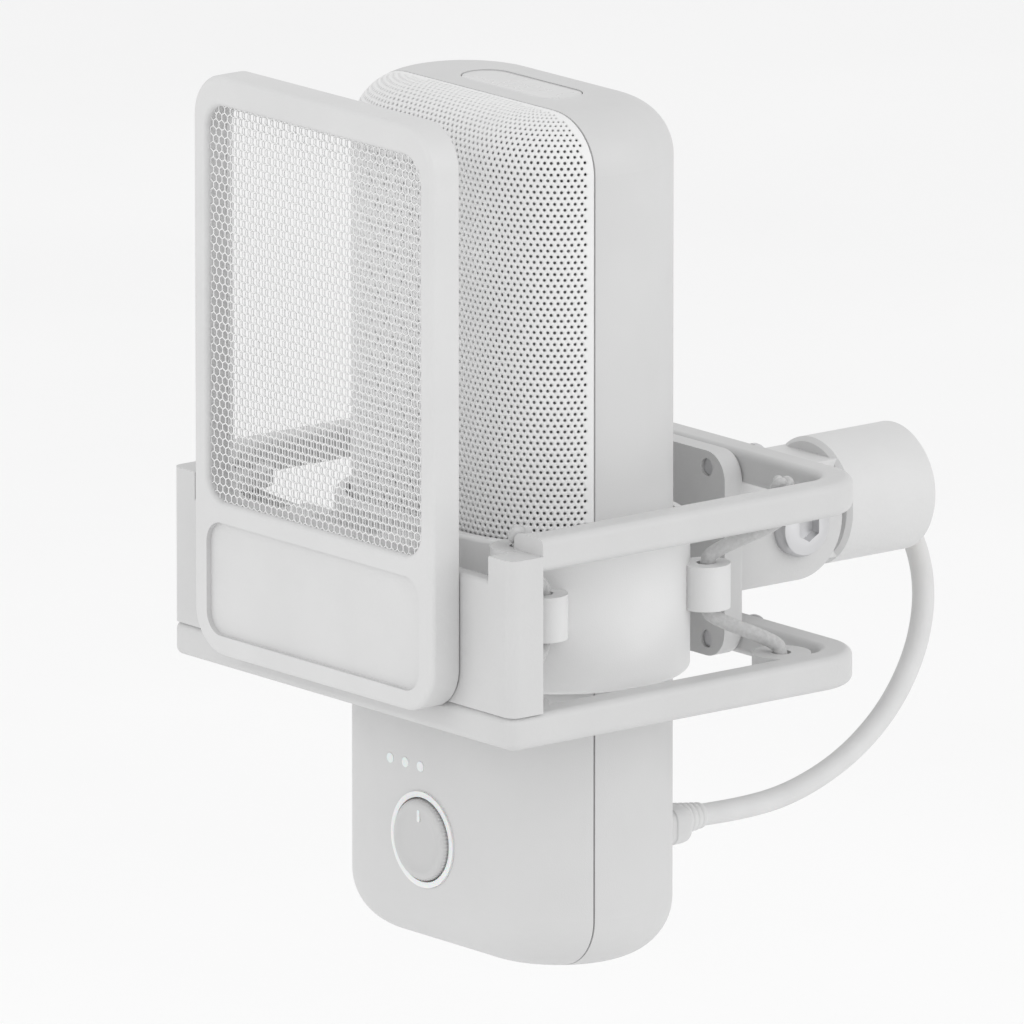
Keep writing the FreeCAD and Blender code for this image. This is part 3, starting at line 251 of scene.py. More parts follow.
def spread_noise(tree, scale):
    """Noise with its middle range stretched to 0..1."""
    ramp = tree.nodes.new("ShaderNodeMapRange")
    ramp.inputs["From Min"].default_value = 0.3
    ramp.inputs["From Max"].default_value = 0.7
    tree.links.new(noise(tree, scale, 4).outputs["Fac"], ramp.inputs["Value"])
    return ramp.outputs["Result"]


def add_bump(tree, shader, height, depth, sharpness=1.0):
    """Bump of that depth in millimetres, on top of what the shader's normal has already."""
    bump = tree.nodes.new("ShaderNodeBump")
    bump.inputs["Distance"].default_value = depth * MM
    bump.inputs["Strength"].default_value = sharpness
    tree.links.new(height, bump.inputs["Height"])
    before = shader.inputs["Normal"]
    if before.is_linked:
        tree.links.new(before.links[0].from_socket, bump.inputs["Normal"])
    tree.links.new(bump.outputs["Normal"], before)


def shader_of(material):
    return material.node_tree, material.node_tree.nodes["Principled BSDF"]


def brushed(name, colour, roughness, stretch):
    """Metal with fine lines along the axis whose stretch is small."""
    material = plain_material(name, colour, roughness, metallic=1.0, worn=(300, 0.06))
    tree, shader = shader_of(material)
    add_bump(tree, shader, noise(tree, 2500, 3, stretch).outputs["Fac"], 0.02, 0.5)
    return material


def foam(name, colour):
    """Open foam: pale struts, with painted shade in the pores, whose middles get a darker colour."""
    material = plain_material(name, colour, 0.95, Sheen_Weight=0.2)
    tree, shader = shader_of(material)
    place = tree.nodes.new("ShaderNodeTexCoord")
    cells = tree.nodes.new("ShaderNodeTexVoronoi")
    cells.feature = "DISTANCE_TO_EDGE"
    cells.inputs["Scale"].default_value = 1600
    tree.links.new(place.outputs["Object"], cells.inputs["Vector"])
    ramp = tree.nodes.new("ShaderNodeMapRange")
    ramp.inputs["From Max"].default_value = 0.25
    tree.links.new(cells.outputs["Distance"], ramp.inputs["Value"])
    # Painted shade: the cell middles, the pores, are mixed towards a darker colour in place of the shade inside
    # them.
    mix = tree.nodes.new("ShaderNodeMix")
    mix.data_type = "RGBA"
    mix.inputs["A"].default_value = (colour,) * 3 + (1,)
    mix.inputs["B"].default_value = (colour * 0.55,) * 3 + (1,)
    tree.links.new(ramp.outputs["Result"], mix.inputs["Factor"])
    tree.links.new(mix.outputs["Result"], shader.inputs["Base Color"])
    add_bump(tree, shader, cells.outputs["Distance"], 0.3)
    return material


def glowing(name, colour, strength):
    material = plain_material(name, colour, 0.35, grain=(1200, 0.01), Coat_Weight=0.3,
                              Subsurface_Weight=0.3, Subsurface_Scale=0.002)
    _, shader = shader_of(material)
    shader.inputs["Emission Color"].default_value = (1, 1, 1, 1)
    shader.inputs["Emission Strength"].default_value = strength
    return material


def woven(name, colour):
    """Textile braid on geometry that already has the strands: fine fibres and soft sheen."""
    material = plain_material(name, colour, 0.85, mottle=(1500, 0.08), Sheen_Weight=0.35, Sheen_Roughness=0.5)
    tree, shader = shader_of(material)
    add_bump(tree, shader, noise(tree, 9000, 2).outputs["Fac"], 0.05)
    return material


def board(name, colour):
    """Solder mask with faint traces under it."""
    material = plain_material(name, colour, 0.35, Coat_Weight=0.4)
    tree, shader = shader_of(material)
    place = tree.nodes.new("ShaderNodeTexCoord")
    traces = tree.nodes.new("ShaderNodeTexBrick")
    traces.inputs["Scale"].default_value = 300
    traces.inputs["Color1"].default_value = (*colour, 1)
    traces.inputs["Color2"].default_value = (*(c * 1.2 for c in colour), 1)
    traces.inputs["Mortar"].default_value = (*(c * 1.5 for c in colour), 1)
    tree.links.new(place.outputs["Object"], traces.inputs["Vector"])
    tree.links.new(traces.outputs["Color"], shader.inputs["Base Color"])
    return material


def make_materials():
    """One material for each slot of the record."""
    paint = {"Specular_IOR_Level": 0.4, "Coat_Weight": 0.08, "Coat_Roughness": 0.4}
    made = {
        "shell_plastic": plain_material("shell_plastic", 0.575, 0.5, grain=(5000, 0.02), mottle=(60, 0.015),
                                        worn=(90, 0.05)),
        # Pale grille paint and foam, set lighter than the other painted parts as painted light, to lift the
        # shade in the holes and behind the pop filter.
        "grille_steel": plain_material("grille_steel", 0.75, 0.5, grain=(2600, 0.02), mottle=(80, 0.02),
                                       worn=(120, 0.05), **paint),
        "foam": foam("foam", 0.9),
        "touch_plastic": plain_material("touch_plastic", 0.56, 0.28, grain=(4000, 0.004), worn=(150, 0.06),
                                        Coat_Weight=0.3, Coat_Roughness=0.2),
        "dial_plastic": plain_material("dial_plastic", 0.52, 0.42, grain=(5000, 0.01), worn=(200, 0.06)),
        "light_diffuser": glowing("light_diffuser", 0.7, 0.06),
        "frame_metal": plain_material("frame_metal", 0.56, 0.48, grain=(1800, 0.03), mottle=(70, 0.02),
                                      worn=(110, 0.06), **paint),
        "neck_metal": plain_material("neck_metal", 0.63, 0.48, grain=(1800, 0.03), mottle=(70, 0.02),
                                     worn=(110, 0.06), **paint),
        "thread_brass": brushed("thread_brass", (0.78, 0.66, 0.42), 0.32, (1, 12, 1)),
        "hardware_steel": brushed("hardware_steel", (0.62, 0.62, 0.63), 0.35, (1, 10, 1)),
        "washer_plastic": plain_material("washer_plastic", 0.5, 0.55, grain=(3000, 0.01), mottle=(200, 0.03)),
        "knob_plastic": plain_material("knob_plastic", 0.56, 0.5, grain=(4500, 0.025), mottle=(90, 0.02),
                                       worn=(160, 0.06)),
        "filter_metal": plain_material("filter_metal", 0.61, 0.46, grain=(1800, 0.025), mottle=(70, 0.02),
                                       worn=(110, 0.06), **paint),
        "filter_mesh": plain_material("filter_mesh", 0.78, 0.45, grain=(6000, 0.01), worn=(200, 0.05),
                                      **paint),
        # Pale cradle plastic, set lighter than the shell plastic as painted light, to lift the shade the frames
        # cast on the sleeve.
        "cradle_plastic": plain_material("cradle_plastic", 0.7, 0.5, grain=(4500, 0.02), mottle=(80, 0.02),
                                         worn=(130, 0.06)),
        "soft_rubber": plain_material("soft_rubber", 0.36, 0.8, grain=(3500, 0.04), mottle=(150, 0.05)),
        "elastic_fabric": woven("elastic_fabric", 0.5),
        "tie_fabric": woven("tie_fabric", 0.5),
        "cable_jacket": plain_material("cable_jacket", 0.63, 0.6, grain=(3500, 0.02), mottle=(120, 0.03),
                                       worn=(150, 0.06)),
        "plug_plastic": plain_material("plug_plastic", 0.6, 0.5, grain=(5000, 0.02), mottle=(120, 0.02),
                                       worn=(160, 0.06)),
        "plug_steel": brushed("plug_steel", (0.72, 0.72, 0.73), 0.28, (12, 1, 1)),
        "dark_plastic": plain_material("dark_plastic", 0.16, 0.45, grain=(4000, 0.015), worn=(200, 0.06)),
        "circuit_board": board("circuit_board", (0.05, 0.2, 0.09)),
        "chassis_steel": brushed("chassis_steel", (0.6, 0.6, 0.6), 0.4, (1, 1, 12)),
        "capsule_brass": brushed("capsule_brass", (0.78, 0.64, 0.38), 0.3, (12, 1, 12)),
        "diaphragm_film": plain_material("diaphragm_film", (0.85, 0.68, 0.35), 0.2, metallic=1.0,
                                         grain=(900, 0.01), worn=(200, 0.05)),
    }
    return made


# ---------------------------------------------------------------- mesh helpers
def grid_faces(rows, columns, closed=True):
    """Quads between neighbouring rings of points, and round each ring when closed."""
    faces = []
    for row in range(rows - 1):
        for column in range(columns if closed else columns - 1):
            following = (column + 1) % columns
            faces.append((row * columns + column, row * columns + following,
                          (row + 1) * columns + following, (row + 1) * columns + column))
    return faces


def closing_faces(rows, columns):
    """Quads from the last ring of points back to the first."""
    last = (rows - 1) * columns
    return [(last + i, last + (i + 1) % columns, (i + 1) % columns, i) for i in range(columns)]


def loft(rings, capped=True):
    """Points and faces of a skin through rings of equal length."""
    columns = len(rings[0])
    faces = grid_faces(len(rings), columns)
    if capped:
        faces.append(tuple(range(columns)))
        faces.append(tuple((len(rings) - 1) * columns + i for i in range(columns)))
    return np.concatenate(rings), faces


def merge(*parts):
    """Several (points, faces) as one."""
    points, faces, count = [], [], 0
    for some_points, some_faces in parts:
        points.append(np.asarray(some_points, float))
        faces += [tuple(i + count for i in face) for face in some_faces]
        count += len(some_points)
    return np.concatenate(points), faces


def turned(profile, axis, centre, sides=48, shape=None):
    """A body turned about an axis: profile holds (distance along it, radius), and shape(angles, distance,
    radius) may give uneven radii."""
    angles = np.linspace(0, 2 * math.pi, sides, endpoint=False)
    rings = []
    for distance, radius in profile:
        radii = np.full(sides, radius) if shape is None else shape(angles, distance, radius)
        across, up = radii * np.cos(angles), radii * np.sin(angles)
        columns = {"X": (np.full(sides, distance), across, up), "Y": (across, np.full(sides, distance), up),
                   "Z": (across, up, np.full(sides, distance))}[axis]
        rings.append(np.stack(columns, axis=1) + np.asarray(centre, float))
    return loft(rings)


def rounded_ring(width, height, radius, steps=6):
    """The outline of a rounded rectangle about the origin."""
    a, b = width / 2 - radius, height / 2 - radius
    outline = []
    for quarter, (x, y) in enumerate(((a, b), (-a, b), (-a, -b), (a, -b))):
        for step in range(steps + 1):
            angle = math.pi / 2 * (quarter + step / steps)
            outline.append((x + radius * math.cos(angle), y + radius * math.sin(angle)))
    return np.array(outline)


def spline_line(control, resolution):
    """Points along the NURBS spline of some control points."""
    curve = nurbs("line", control, resolution)
    carrier = bpy.data.objects.new("line", curve)
    mesh = bpy.data.meshes.new_from_object(carrier)
    points = np.array([v.co for v in mesh.vertices], float)
    bpy.data.objects.remove(carrier)
    bpy.data.meshes.remove(mesh)
    bpy.data.curves.remove(curve)
    return points


def nurbs(name, control, resolution):
    curve = bpy.data.curves.new(name, "CURVE")
    curve.dimensions = "3D"
    curve.resolution_u = resolution
    spline = curve.splines.new("NURBS")
    spline.points.add(len(control) - 1)
    for point, place in zip(spline.points, control):
        point.co = (*place, 1)
    spline.order_u = 3
    spline.use_endpoint_u = True
    return curve


def tube(line, radius, sides=16, closed=False):
    """A round skin along a line; radius is a number or a function of (angles, distance along the line)."""
    line = np.asarray(line, float)
    ahead = np.roll(line, -1, axis=0) - np.roll(line, 1, axis=0)
    if not closed:
        ahead[0], ahead[-1] = line[1] - line[0], line[-1] - line[-2]
    ahead /= np.linalg.norm(ahead, axis=1)[:, None]
    steps = np.linalg.norm(np.diff(line, axis=0), axis=1)
    along = np.concatenate([[0], np.cumsum(steps)])
    side = np.cross(ahead[0], (0.31, 0.87, 0.4))
    angles = np.linspace(0, 2 * math.pi, sides, endpoint=False)
    rings = []
    for place, heading, distance in zip(line, ahead, along):
        side = side - heading * np.dot(side, heading)
        side /= np.linalg.norm(side)
        other = np.cross(heading, side)
        radii = radius(angles, distance) if callable(radius) else np.full(sides, radius)
        ring = np.outer(radii * np.cos(angles), side) + np.outer(radii * np.sin(angles), other)
        rings.append(ring + place)
    if closed:
        points, faces = loft(rings, capped=False)
        return points, faces + closing_faces(len(rings), sides)
    return loft(rings)


def new_piece(name, shape, smooth=40):
    """A mesh piece from (points, faces) in millimetres from the microphone's centre."""
    points, faces = shape
    mesh = bpy.data.meshes.new(name)
    mesh.from_pydata(to_frame(points).tolist(), [], faces)
    mesh.validate()
    tidy = bmesh.new()
    tidy.from_mesh(mesh)
    bmesh.ops.recalc_face_normals(tidy, faces=tidy.faces)
    tidy.to_mesh(mesh)
    tidy.free()
    shade(mesh, smooth)
    return add_object(name, mesh)


def shade(mesh, angle):
    mesh.shade_smooth()
    mesh.set_sharp_from_angle(angle=math.radians(angle))


def stand_in(piece, *nodes, rides=True):
    """The piece replaces CAD nodes: it takes the material of their slot and, unless rides is false, their body.
    """
    slot = SLOT[nodes[0]]
    piece.data.materials.clear()
    piece.data.materials.append(MATERIALS[slot])
    if rides:
        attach(piece, BODY[nodes[0]])
    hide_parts(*nodes)
    return piece


def extra(piece, body, slot):
    """A small piece of its own that no CAD node stands for."""
    piece.data.materials.append(MATERIALS[slot])
    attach(piece, body)
    return piece


def bevel(piece, width):
    modifier = piece.modifiers.new("bevel", "BEVEL")
    modifier.width = width * MM
    modifier.segments = 2
    modifier.limit_method = "ANGLE"
    modifier.angle_limit = math.radians(35)
    modifier.harden_normals = True


def thicken(piece, thickness, offset):
    modifier = piece.modifiers.new("thickness", "SOLIDIFY")
    modifier.thickness = thickness * MM
    modifier.offset = offset
    modifier.use_even_offset = True


# ---------------------------------------------------------------- perforated sheets
def hexagon_cells(width, height, pitch):
    """Centres of a hexagonal pattern about the origin that covers width by height."""
    row_step = pitch * math.sqrt(3) / 2
    rows, columns = math.ceil(height / 2 / row_step), math.ceil(width / 2 / pitch)
    return [
        ((column + 0.5 * (row % 2)) * pitch, row * row_step)
        for row in range(-rows, rows + 1) for column in range(-columns, columns + 1)
    ]


def perforated(cells, pitch, hole, sides):
    """A flat sheet of hexagonal cells: hole(centre) gives the hole's radius, or 0 for a solid cell. Returns
    2-D points and faces, with shared points between neighbours."""
    corner_r, edge_r = pitch / math.sqrt(3), pitch / 2
    rim = []
    for i in range(sides):
        angle = math.pi / 2 + 2 * math.pi * i / sides
        turn = (angle - math.pi / 2 + math.pi / 6) % (math.pi / 3) - math.pi / 6
        reach = corner_r if abs(turn) < 1e-6 else edge_r
        rim.append((reach * math.cos(angle), reach * math.sin(angle)))
    points, faces, known = [], [], {}

    def point(x, y):
        key = (round(x / pitch * 1000), round(y / pitch * 1000))
        if key not in known:
            known[key] = len(points)
            points.append((x, y))
        return known[key]

    for x, y in cells:
        outer = [point(x + dx, y + dy) for dx, dy in rim]
        radius = hole(x, y)
        if not radius:
            points.append((x, y))
            inner = [len(points) - 1] * sides
        else:
            start = len(points)
            turns = [math.pi / 2 + 2 * math.pi * i / sides for i in range(sides)]
            points += [(x + radius * math.cos(a), y + radius * math.sin(a)) for a in turns]
            inner = list(range(start, start + sides))
        for i in range(sides):
            j = (i + 1) % sides
            face = (outer[i], outer[j], inner[j], inner[i])
            faces.append(face if radius else face[:3])
    return points, faces


def body_surface(s, t):
    """A point of the microphone's skin: s runs round the front from its middle, and t up from the split,
    over the rounding and on across the flat top. The round ends keep s as an angle."""
    wall = BODY_TOP - TOP_ROUND - SPLIT_Z
    arc = TOP_ROUND * math.pi / 2
    if t <= wall:
        inset, z = 0.0, SPLIT_Z + t
    elif t <= wall + arc:
        turn = (t - wall) / TOP_ROUND
        inset, z = TOP_ROUND * (1 - math.cos(turn)), BODY_TOP - TOP_ROUND * (1 - math.sin(turn))
    else:
        inset, z = TOP_ROUND + t - wall - arc, BODY_TOP
    side = math.copysign(1, s)
    turn = max(abs(s) - BODY_HALF, 0) / BODY_ROUND
    reach = BODY_ROUND - inset
    x = side * (min(abs(s), BODY_HALF) + reach * math.sin(turn))
    return x, -reach * math.cos(turn), z


def make_grille():
    """The perforated front, wrapped over the rounded top and trimmed at the two seams."""
    tall = BODY_TOP - SPLIT_Z + GRILLE_OVER
    around = 2 * (BODY_HALF + BODY_ROUND * math.pi / 2)

    def hole(s, t):
        _, y, z = body_surface(s, t)
        return GRILLE_HOLE if y < SEAM_Y - GRILLE_EDGE and t > GRILLE_EDGE else 0

    cells = [(s, t + tall / 2) for s, t in hexagon_cells(around, tall, GRILLE_PITCH)]
    flat, faces = perforated([c for c in cells if c[1] > -2], GRILLE_PITCH, hole, 12)
    points = [body_surface(s, t) for s, t in flat]
    piece = new_piece("grille_perforated", (points, faces))
    trimmed = bmesh.new()
    trimmed.from_mesh(piece.data)
    for place, outward in ((spot(0, SEAM_Y, 0), (0, 1, 0)), (spot(0, 0, SPLIT_Z), (0, 0, -1))):
        bmesh.ops.bisect_plane(trimmed, geom=trimmed.verts[:] + trimmed.edges[:] + trimmed.faces[:],
                               plane_co=place, plane_no=outward, clear_outer=True)
    trimmed.to_mesh(piece.data)
    trimmed.free()
    thicken(piece, GRILLE_WALL, -1)
    stand_in(piece, "front_grille")


def make_filter_meshes():
    """Two fine honeycomb meshes, let into the pop filter's frame."""
    for name in ("front", "rear"):
        low, high = (np.array(corner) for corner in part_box(f"filter_mesh_{name}"))
        centre, size = (low + high) / 2, (high - low) / MM
        wide, tall = size[0] + 2 * MESH_TUCK, size[2] + 2 * MESH_TUCK
        sheet = hexagon_cells(size[0] + 4, size[2] + 4, MESH_PITCH)
        cells = [(x, z) for x, z in sheet if in_rounded(x, z, wide, tall, MESH_CORNER)]
        flat, faces = perforated(cells, MESH_PITCH, lambda x, z: (MESH_PITCH - MESH_BAR) / math.sqrt(3), 6)
        offset = (centre - np.array(MIC)) / MM
        points = [(x + offset[0], offset[1], z + offset[2]) for x, z in flat]
        piece = new_piece(f"filter_honeycomb_{name}", (points, faces))
        thicken(piece, MESH_THICK, 0)
        stand_in(piece, f"filter_mesh_{name}")


def in_rounded(x, z, width, height, radius):
    """Whether a point lies inside a rounded rectangle about the origin."""
    dx, dz = abs(x) - (width / 2 - radius), abs(z) - (height / 2 - radius)
    if dx <= 0 or dz <= 0:
        return max(dx, dz) <= radius
    return math.hypot(dx, dz) <= radius


# ---------------------------------------------------------------- elastic suspension
def braid(angles, distance, radius=ELASTIC_R, strands=6, pitch=5.2, height=0.14):
    """Radii of a braided sleeve: two sets of strands that cross."""
    turn = 2 * math.pi * distance / pitch
    one, two = np.cos(strands / 2 * angles + turn * 2), np.cos(strands / 2 * angles - turn * 2)
    return radius - height + height * np.maximum(np.abs(one), np.abs(two))


def knot(centre):
    """A small tight knot of the elastic."""
    t = np.linspace(0, 2 * math.pi, 72, endpoint=False)
    across, up = np.sin(t) + 2 * np.sin(2 * t), np.cos(t) - 2 * np.cos(2 * t)
    line = np.stack([across, up, -1.6 * np.sin(3 * t)], axis=1)
    return tube(line * KNOT_SCALE + np.asarray(centre, float), KNOT_CORD_R, sides=12, closed=True)


def make_suspension():
    for end, sy in (("front", -1), ("rear", 1)):
        for side, sx in (("right", 1), ("left", -1)):
            outer, inner = np.array(EYELET) * (sx, sy), np.array(LUG) * (sx, sy)
            control = [(*(outer + (inner - outer) * share), z) for share, z in SUSPENSION]
            line = spline_line(control, 20)
            shape = merge(tube(line, braid, sides=24), knot(control[0]), knot(control[-1]))
            piece = new_piece(f"suspension_{end}_{side}", shape, smooth=60)
            stand_in(piece, f"elastic_{end}_{side}", rides=False)
            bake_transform(piece)


# ---------------------------------------------------------------- USB lead
def hank_route():
    """Eight turns folded into an upright hank: four outside, then four inside them."""
    x0, y0, z0 = HANK_CENTRE
    layer = 2 * CORD_R * LAYER_SPACING
    half_step = math.pi / FOLD_STEPS / 2
    route = []
    for turn in range(2 * HANK_LAYERS):
        inner = turn >= HANK_LAYERS
        column = turn if not inner else 2 * HANK_LAYERS - 1 - turn
        ahead = min(turn + 1, 2 * HANK_LAYERS - 1)
        next_column = ahead if ahead < HANK_LAYERS else 2 * HANK_LAYERS - 1 - ahead
        radius = HANK_FOLD - (2 * CORD_R if inner else 0)
        next_radius = HANK_FOLD - (2 * CORD_R if ahead >= HANK_LAYERS else 0)
        loose = LOOSENESS * (math.sin(2.4 * turn + 1) - 1) * (1 if inner else -1)
        for end, sign, r, c in (("low", -1, radius, column), ("high", 1, next_radius, next_column)):
            x = x0 + ((HANK_LAYERS - 1) / 2 - c) * layer
            centre_z = z0 + sign * (HANK_RUN / 2 + loose)
            corner_r = r / math.cos(half_step)
            for step in range(FOLD_STEPS):
                angle = half_step + step * 2 * half_step
                y = y0 - sign * corner_r * math.cos(angle)
                route.append((x, y, centre_z + sign * corner_r * math.sin(angle)))
    return route


def make_lead():
    control = [*LEAD_ROUTE, *hank_route(), *TAIL_ROUTE]
    curve = nurbs("usb_lead", to_frame(control).tolist(), 12)
    curve.bevel_depth = CORD_R * MM
    curve.bevel_resolution = 6
    curve.use_fill_caps = True
    lead = add_object("usb_lead", curve)
    stand_in(lead, "usb_cable", "cable_hank", "cable_tail")
    return lead


def plug_relief(line, wide, narrow, length):
    """A taper with five soft ribs, which shrinks towards the cord."""
    def radius(angles, distance):
        share = distance / length
        ribs = 0.22 * abs(math.sin(math.pi * 5 * share)) ** 0.7
        return np.full(len(angles), wide + (narrow - wide) * share - 0.22 + ribs)
    return tube(line, radius, sides=32)


def make_plug():
    """USB plug in the back of the microphone: overmould with grip grooves, then its relief."""
    low, high = (np.array(corner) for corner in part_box("cable_plug"))
    start, end = ((edge[1] - MIC.y) / MM for edge in (low, high))
    z = ((low[2] + high[2]) / 2 - MIC.z) / MM
    wide, tall = PLUG_SIZE
    rings = []
    for share, shrink in plug_steps():
        width, height = (wide - shrink) * (1 - 0.1 * share), (tall - shrink) * (1 - 0.06 * share)
        outline = rounded_ring(width, height, PLUG_CORNER - shrink / 3)
        y = np.full(len(outline), start + share * (end - start))
        rings.append(np.stack([outline[:, 0], y, outline[:, 1] + z], axis=1))
    stand_in(new_piece("plug_overmould", loft(rings)), "cable_plug")
    line = np.stack([np.zeros(41), np.linspace(end, end + PLUG_RELIEF[2], 41), np.full(41, z)], axis=1)
    return stand_in(new_piece("plug_relief", plug_relief(line, *PLUG_RELIEF), 70), "strain_relief")


def plug_steps():
    """(share of the length, shrink) down a plug's overmould, with round ends and four grip grooves."""
    steps = [(0, 1.6), (0.02, 0.7), (0.06, 0.15), (0.12, 0)]
    for groove in range(4):
        at = 0.36 + groove * 0.12
        steps += [(at, 0), (at + 0.015, 0.5), (at + 0.045, 0.5), (at + 0.06, 0)]
    return [*steps, (0.9, 0), (0.96, 0.3), (0.99, 0.9), (1, 1.8)]


def make_far_plug():
    """The spare end: relief, overmould and a metal shell with its two windows and tongue."""
    low, high = (np.array(corner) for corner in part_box("far_plug"))
    top, bottom = ((edge[2] - MIC.z) / MM for edge in (high, low))
    x, y = TAIL_ROUTE[-1][:2]
    wide, tall = FAR_PLUG_SIZE
    rings = []
    for share, shrink in plug_steps():
        outline = rounded_ring(wide - shrink, tall - shrink, PLUG_CORNER - shrink / 3)
        z = np.full(len(outline), bottom + share * (top - bottom))
        rings.append(np.stack([outline[:, 0] + x, outline[:, 1] + y, z], axis=1))
    body = stand_in(new_piece("far_plug_overmould", loft(rings)), "far_plug")
    line = np.stack([np.full(41, x), np.full(41, y), np.linspace(top, top + FAR_RELIEF[2], 41)], axis=1)
    relief = new_piece("far_plug_relief", plug_relief(line, *FAR_RELIEF), 70)
    stand_in(relief, "far_strain_relief")

    shell_low = (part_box("far_plug_shell")[0].z - MIC.z) / MM
    half_x, half_y, window = 2.25, 6.0, 1.2
    ys = [-half_y, -2.5 - window, -2.5 + window, 2.5 - window, 2.5 + window, half_y]
    outline = [(half_x, v) for v in ys] + [(-half_x, v) for v in reversed(ys)]
    heights = [shell_low, shell_low + 4.2, shell_low + 6.6, bottom]
    rings = [np.array([(x + dx, y + dy, z) for dx, dy in outline]) for z in heights]
    points, faces = loft(rings, capped=False)
    columns = len(outline)
    windows = {columns + column for column in (1, 3, 7, 9)}
    faces = [face for i, face in enumerate(faces) if i not in windows]
    shell = new_piece("far_plug_sleeve", (points, faces))
    thicken(shell, 0.35, -1)
    stand_in(shell, "far_plug_shell")
    tongue_rings = [rounded_ring(1.6, 10.4, 0.3, 2) for _ in range(2)]
    tongue = [np.stack([ring[:, 0] + x - TONGUE_OFFSET, ring[:, 1] + y, np.full(len(ring), z)], axis=1)
              for ring, z in zip(tongue_rings, (shell_low + 0.5, bottom))]
    insert = extra(new_piece("far_plug_tongue", loft(tongue)), BODY["far_plug"], "dark_plastic")
    return [body, relief, shell, insert]


def strap(loop, width_axis, centre, half_width, thickness):
    """A flat strap along a closed loop of (a, b) points, as wide as 2 * half_width along width_axis."""
    loop = np.asarray(loop, float)
    ahead = np.roll(loop, -1, axis=0) - np.roll(loop, 1, axis=0)
    outward = np.stack([ahead[:, 1], -ahead[:, 0]], axis=1) / np.linalg.norm(ahead, axis=1)[:, None]
    others = [axis for axis in range(3) if axis != width_axis]
    outer_half = half_width - 0.25
    section = [(0, -half_width), (0, half_width), (thickness, outer_half), (thickness, -outer_half)]
    rings = []
    for out, across in section:
        ring = np.zeros((len(loop), 3))
        ring[:, others] = loop + outward * out
        ring[:, width_axis] = across
        rings.append(ring + np.asarray(centre, float))
    points, faces = loft(rings, capped=False)
    return points, faces + closing_faces(len(rings), len(loop))


def make_tie():
    """Hook-and-loop strap round the hank, its loose end, and the loop that hangs on the frame's bar."""
    x0, y0, _ = HANK_CENTRE
    wide, deep = 2 * (HANK_LAYERS * CORD_R + 0.4), 2 * (HANK_FOLD + CORD_R + 0.4)
    band = strap(rounded_ring(wide, deep, 3.0), 2, (x0, y0, TIE_Z), TIE_HALF, TIE_THICK)
    bar_low, bar_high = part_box("lower_frame")
    bar_x, bar_z = (bar_low.x - MIC.x) / MM + BAR_HALF, ((bar_low.z + bar_high.z) / 2 - MIC.z) / MM
    hook = rounded_ring(LOOP_SIDE, LOOP_SIDE, LOOP_CORNER)
    loop = strap(hook, 1, (bar_x - 0.1, LOOP_Y, bar_z), LOOP_HALF, TIE_THICK)
    flap = rounded_ring(1.2, 24, 0.5, 3) + (x0 - wide / 2 - 1.9, y0 + 3)
    ends = [np.column_stack([flap, np.full(len(flap), TIE_Z + dz)]) for dz in (-4.6, 4.6)]
    piece = new_piece("lead_tie", merge(band, loop, loft(ends)))
    bevel(piece, 0.3)
    stand_in(piece, "cable_tie")


# ---------------------------------------------------------------- knobs, screws and thread
def ribbed(count, depth, where):
    """Radii with fine ribs where the profile asks for them."""
    def shape(angles, distance, radius):
        ribs = depth * (0.5 + 0.5 * np.cos(count * angles)) if where(distance, radius) else 0
        return radius - ribs
    return shape


def make_dial():
    """Volume dial: fine ribs round its edge, a dished face and a small mark."""
    low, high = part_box("dial_knob")
    front, back = ((corner.y - MIC.y) / MM for corner in (low, high))
    radius = (high.x - low.x) / 2 / MM
    z = ((low.z + high.z) / 2 - MIC.z) / MM
    profile = [(back, 2.0), (back, 3.6), (front + 3.8, 3.6), (front + 3.8, radius - 0.5),
               (front + 3.4, radius - 0.1), (front + 0.9, radius), (front + 0.75, radius),
               (front + 0.3, radius - 0.35), (front, radius - 0.9), (front, radius - 1.5),
               (front + 0.28, radius - 2.0), (front + 0.42, radius - 3.5), (front + 0.45, 0.8)]
    ribs = ribbed(64, 0.16, lambda distance, r: r > radius - 0.3)
    body = turned(profile, "Y", (0, 0, z), sides=256, shape=ribs)
    across, up = rounded_ring(0.7, 2.2, 0.34, 4).T
    mark = [np.stack([across, np.full(len(across), y), up + z + radius - 2.9], axis=1)
            for y in (front + 0.2, front + 0.6)]
    stand_in(new_piece("volume_dial", body, 30), "dial_knob")
    extra(new_piece("volume_mark", loft(mark)), BODY["dial_knob"], "light_diffuser")


def make_tilt_knob():
    """Ten-lobed knob with round notches, a shallow cap and a collar."""
    low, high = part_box("tilt_knob")
    start, end = (corner.x / MM for corner in (low, high))
    y, z = ((high.y + low.y) / 2 - MIC.y) / MM, -MIC.z / MM
    radius = (high.y - low.y) / 2 / MM

    def lobes(angles, distance, r):
        if r < radius * 0.8:
            return np.full(len(angles), r)
        return r - 1.1 * np.clip(np.cos(10 * angles), 0, 1) ** 2

    profile = [(end, 4.5), (end, radius - 0.9), (end - 0.5, radius - 0.3), (end - 1.2, radius),
               (start + 1.8, radius), (start + 0.8, radius - 0.4), (start + 0.25, radius - 1.1),
               (start, radius - 1.9), (start, 6.0), (start + 0.5, 5.6), (start + 0.5, 1.0)]
    body = turned(profile, "X", (0, y, z), sides=160, shape=lobes)
    stand_in(new_piece("tilt_handwheel", body, 35), "tilt_knob")


def screw_head(axis, centre, face, radius, thick, socket):
    """A button head with a hexagonal socket, which stands on face and looks along the axis."""
    def shape(angles, distance, r):
        if r > socket:
            return np.full(len(angles), r)
        turn = (angles + math.pi / 6) % (math.pi / 3) - math.pi / 6
        return r * math.cos(math.pi / 6) / np.cos(turn)

    top = face + thick
    profile = [(face, radius * 0.2), (face, radius), (face + thick * 0.45, radius),
               (face + thick * 0.8, radius * 0.9), (top, radius * 0.68), (top, socket * 1.02), (top, socket),
               (face + thick * 0.35, socket), (face + thick * 0.3, socket * 0.1)]
    return turned(profile, axis, centre, sides=72, shape=shape)


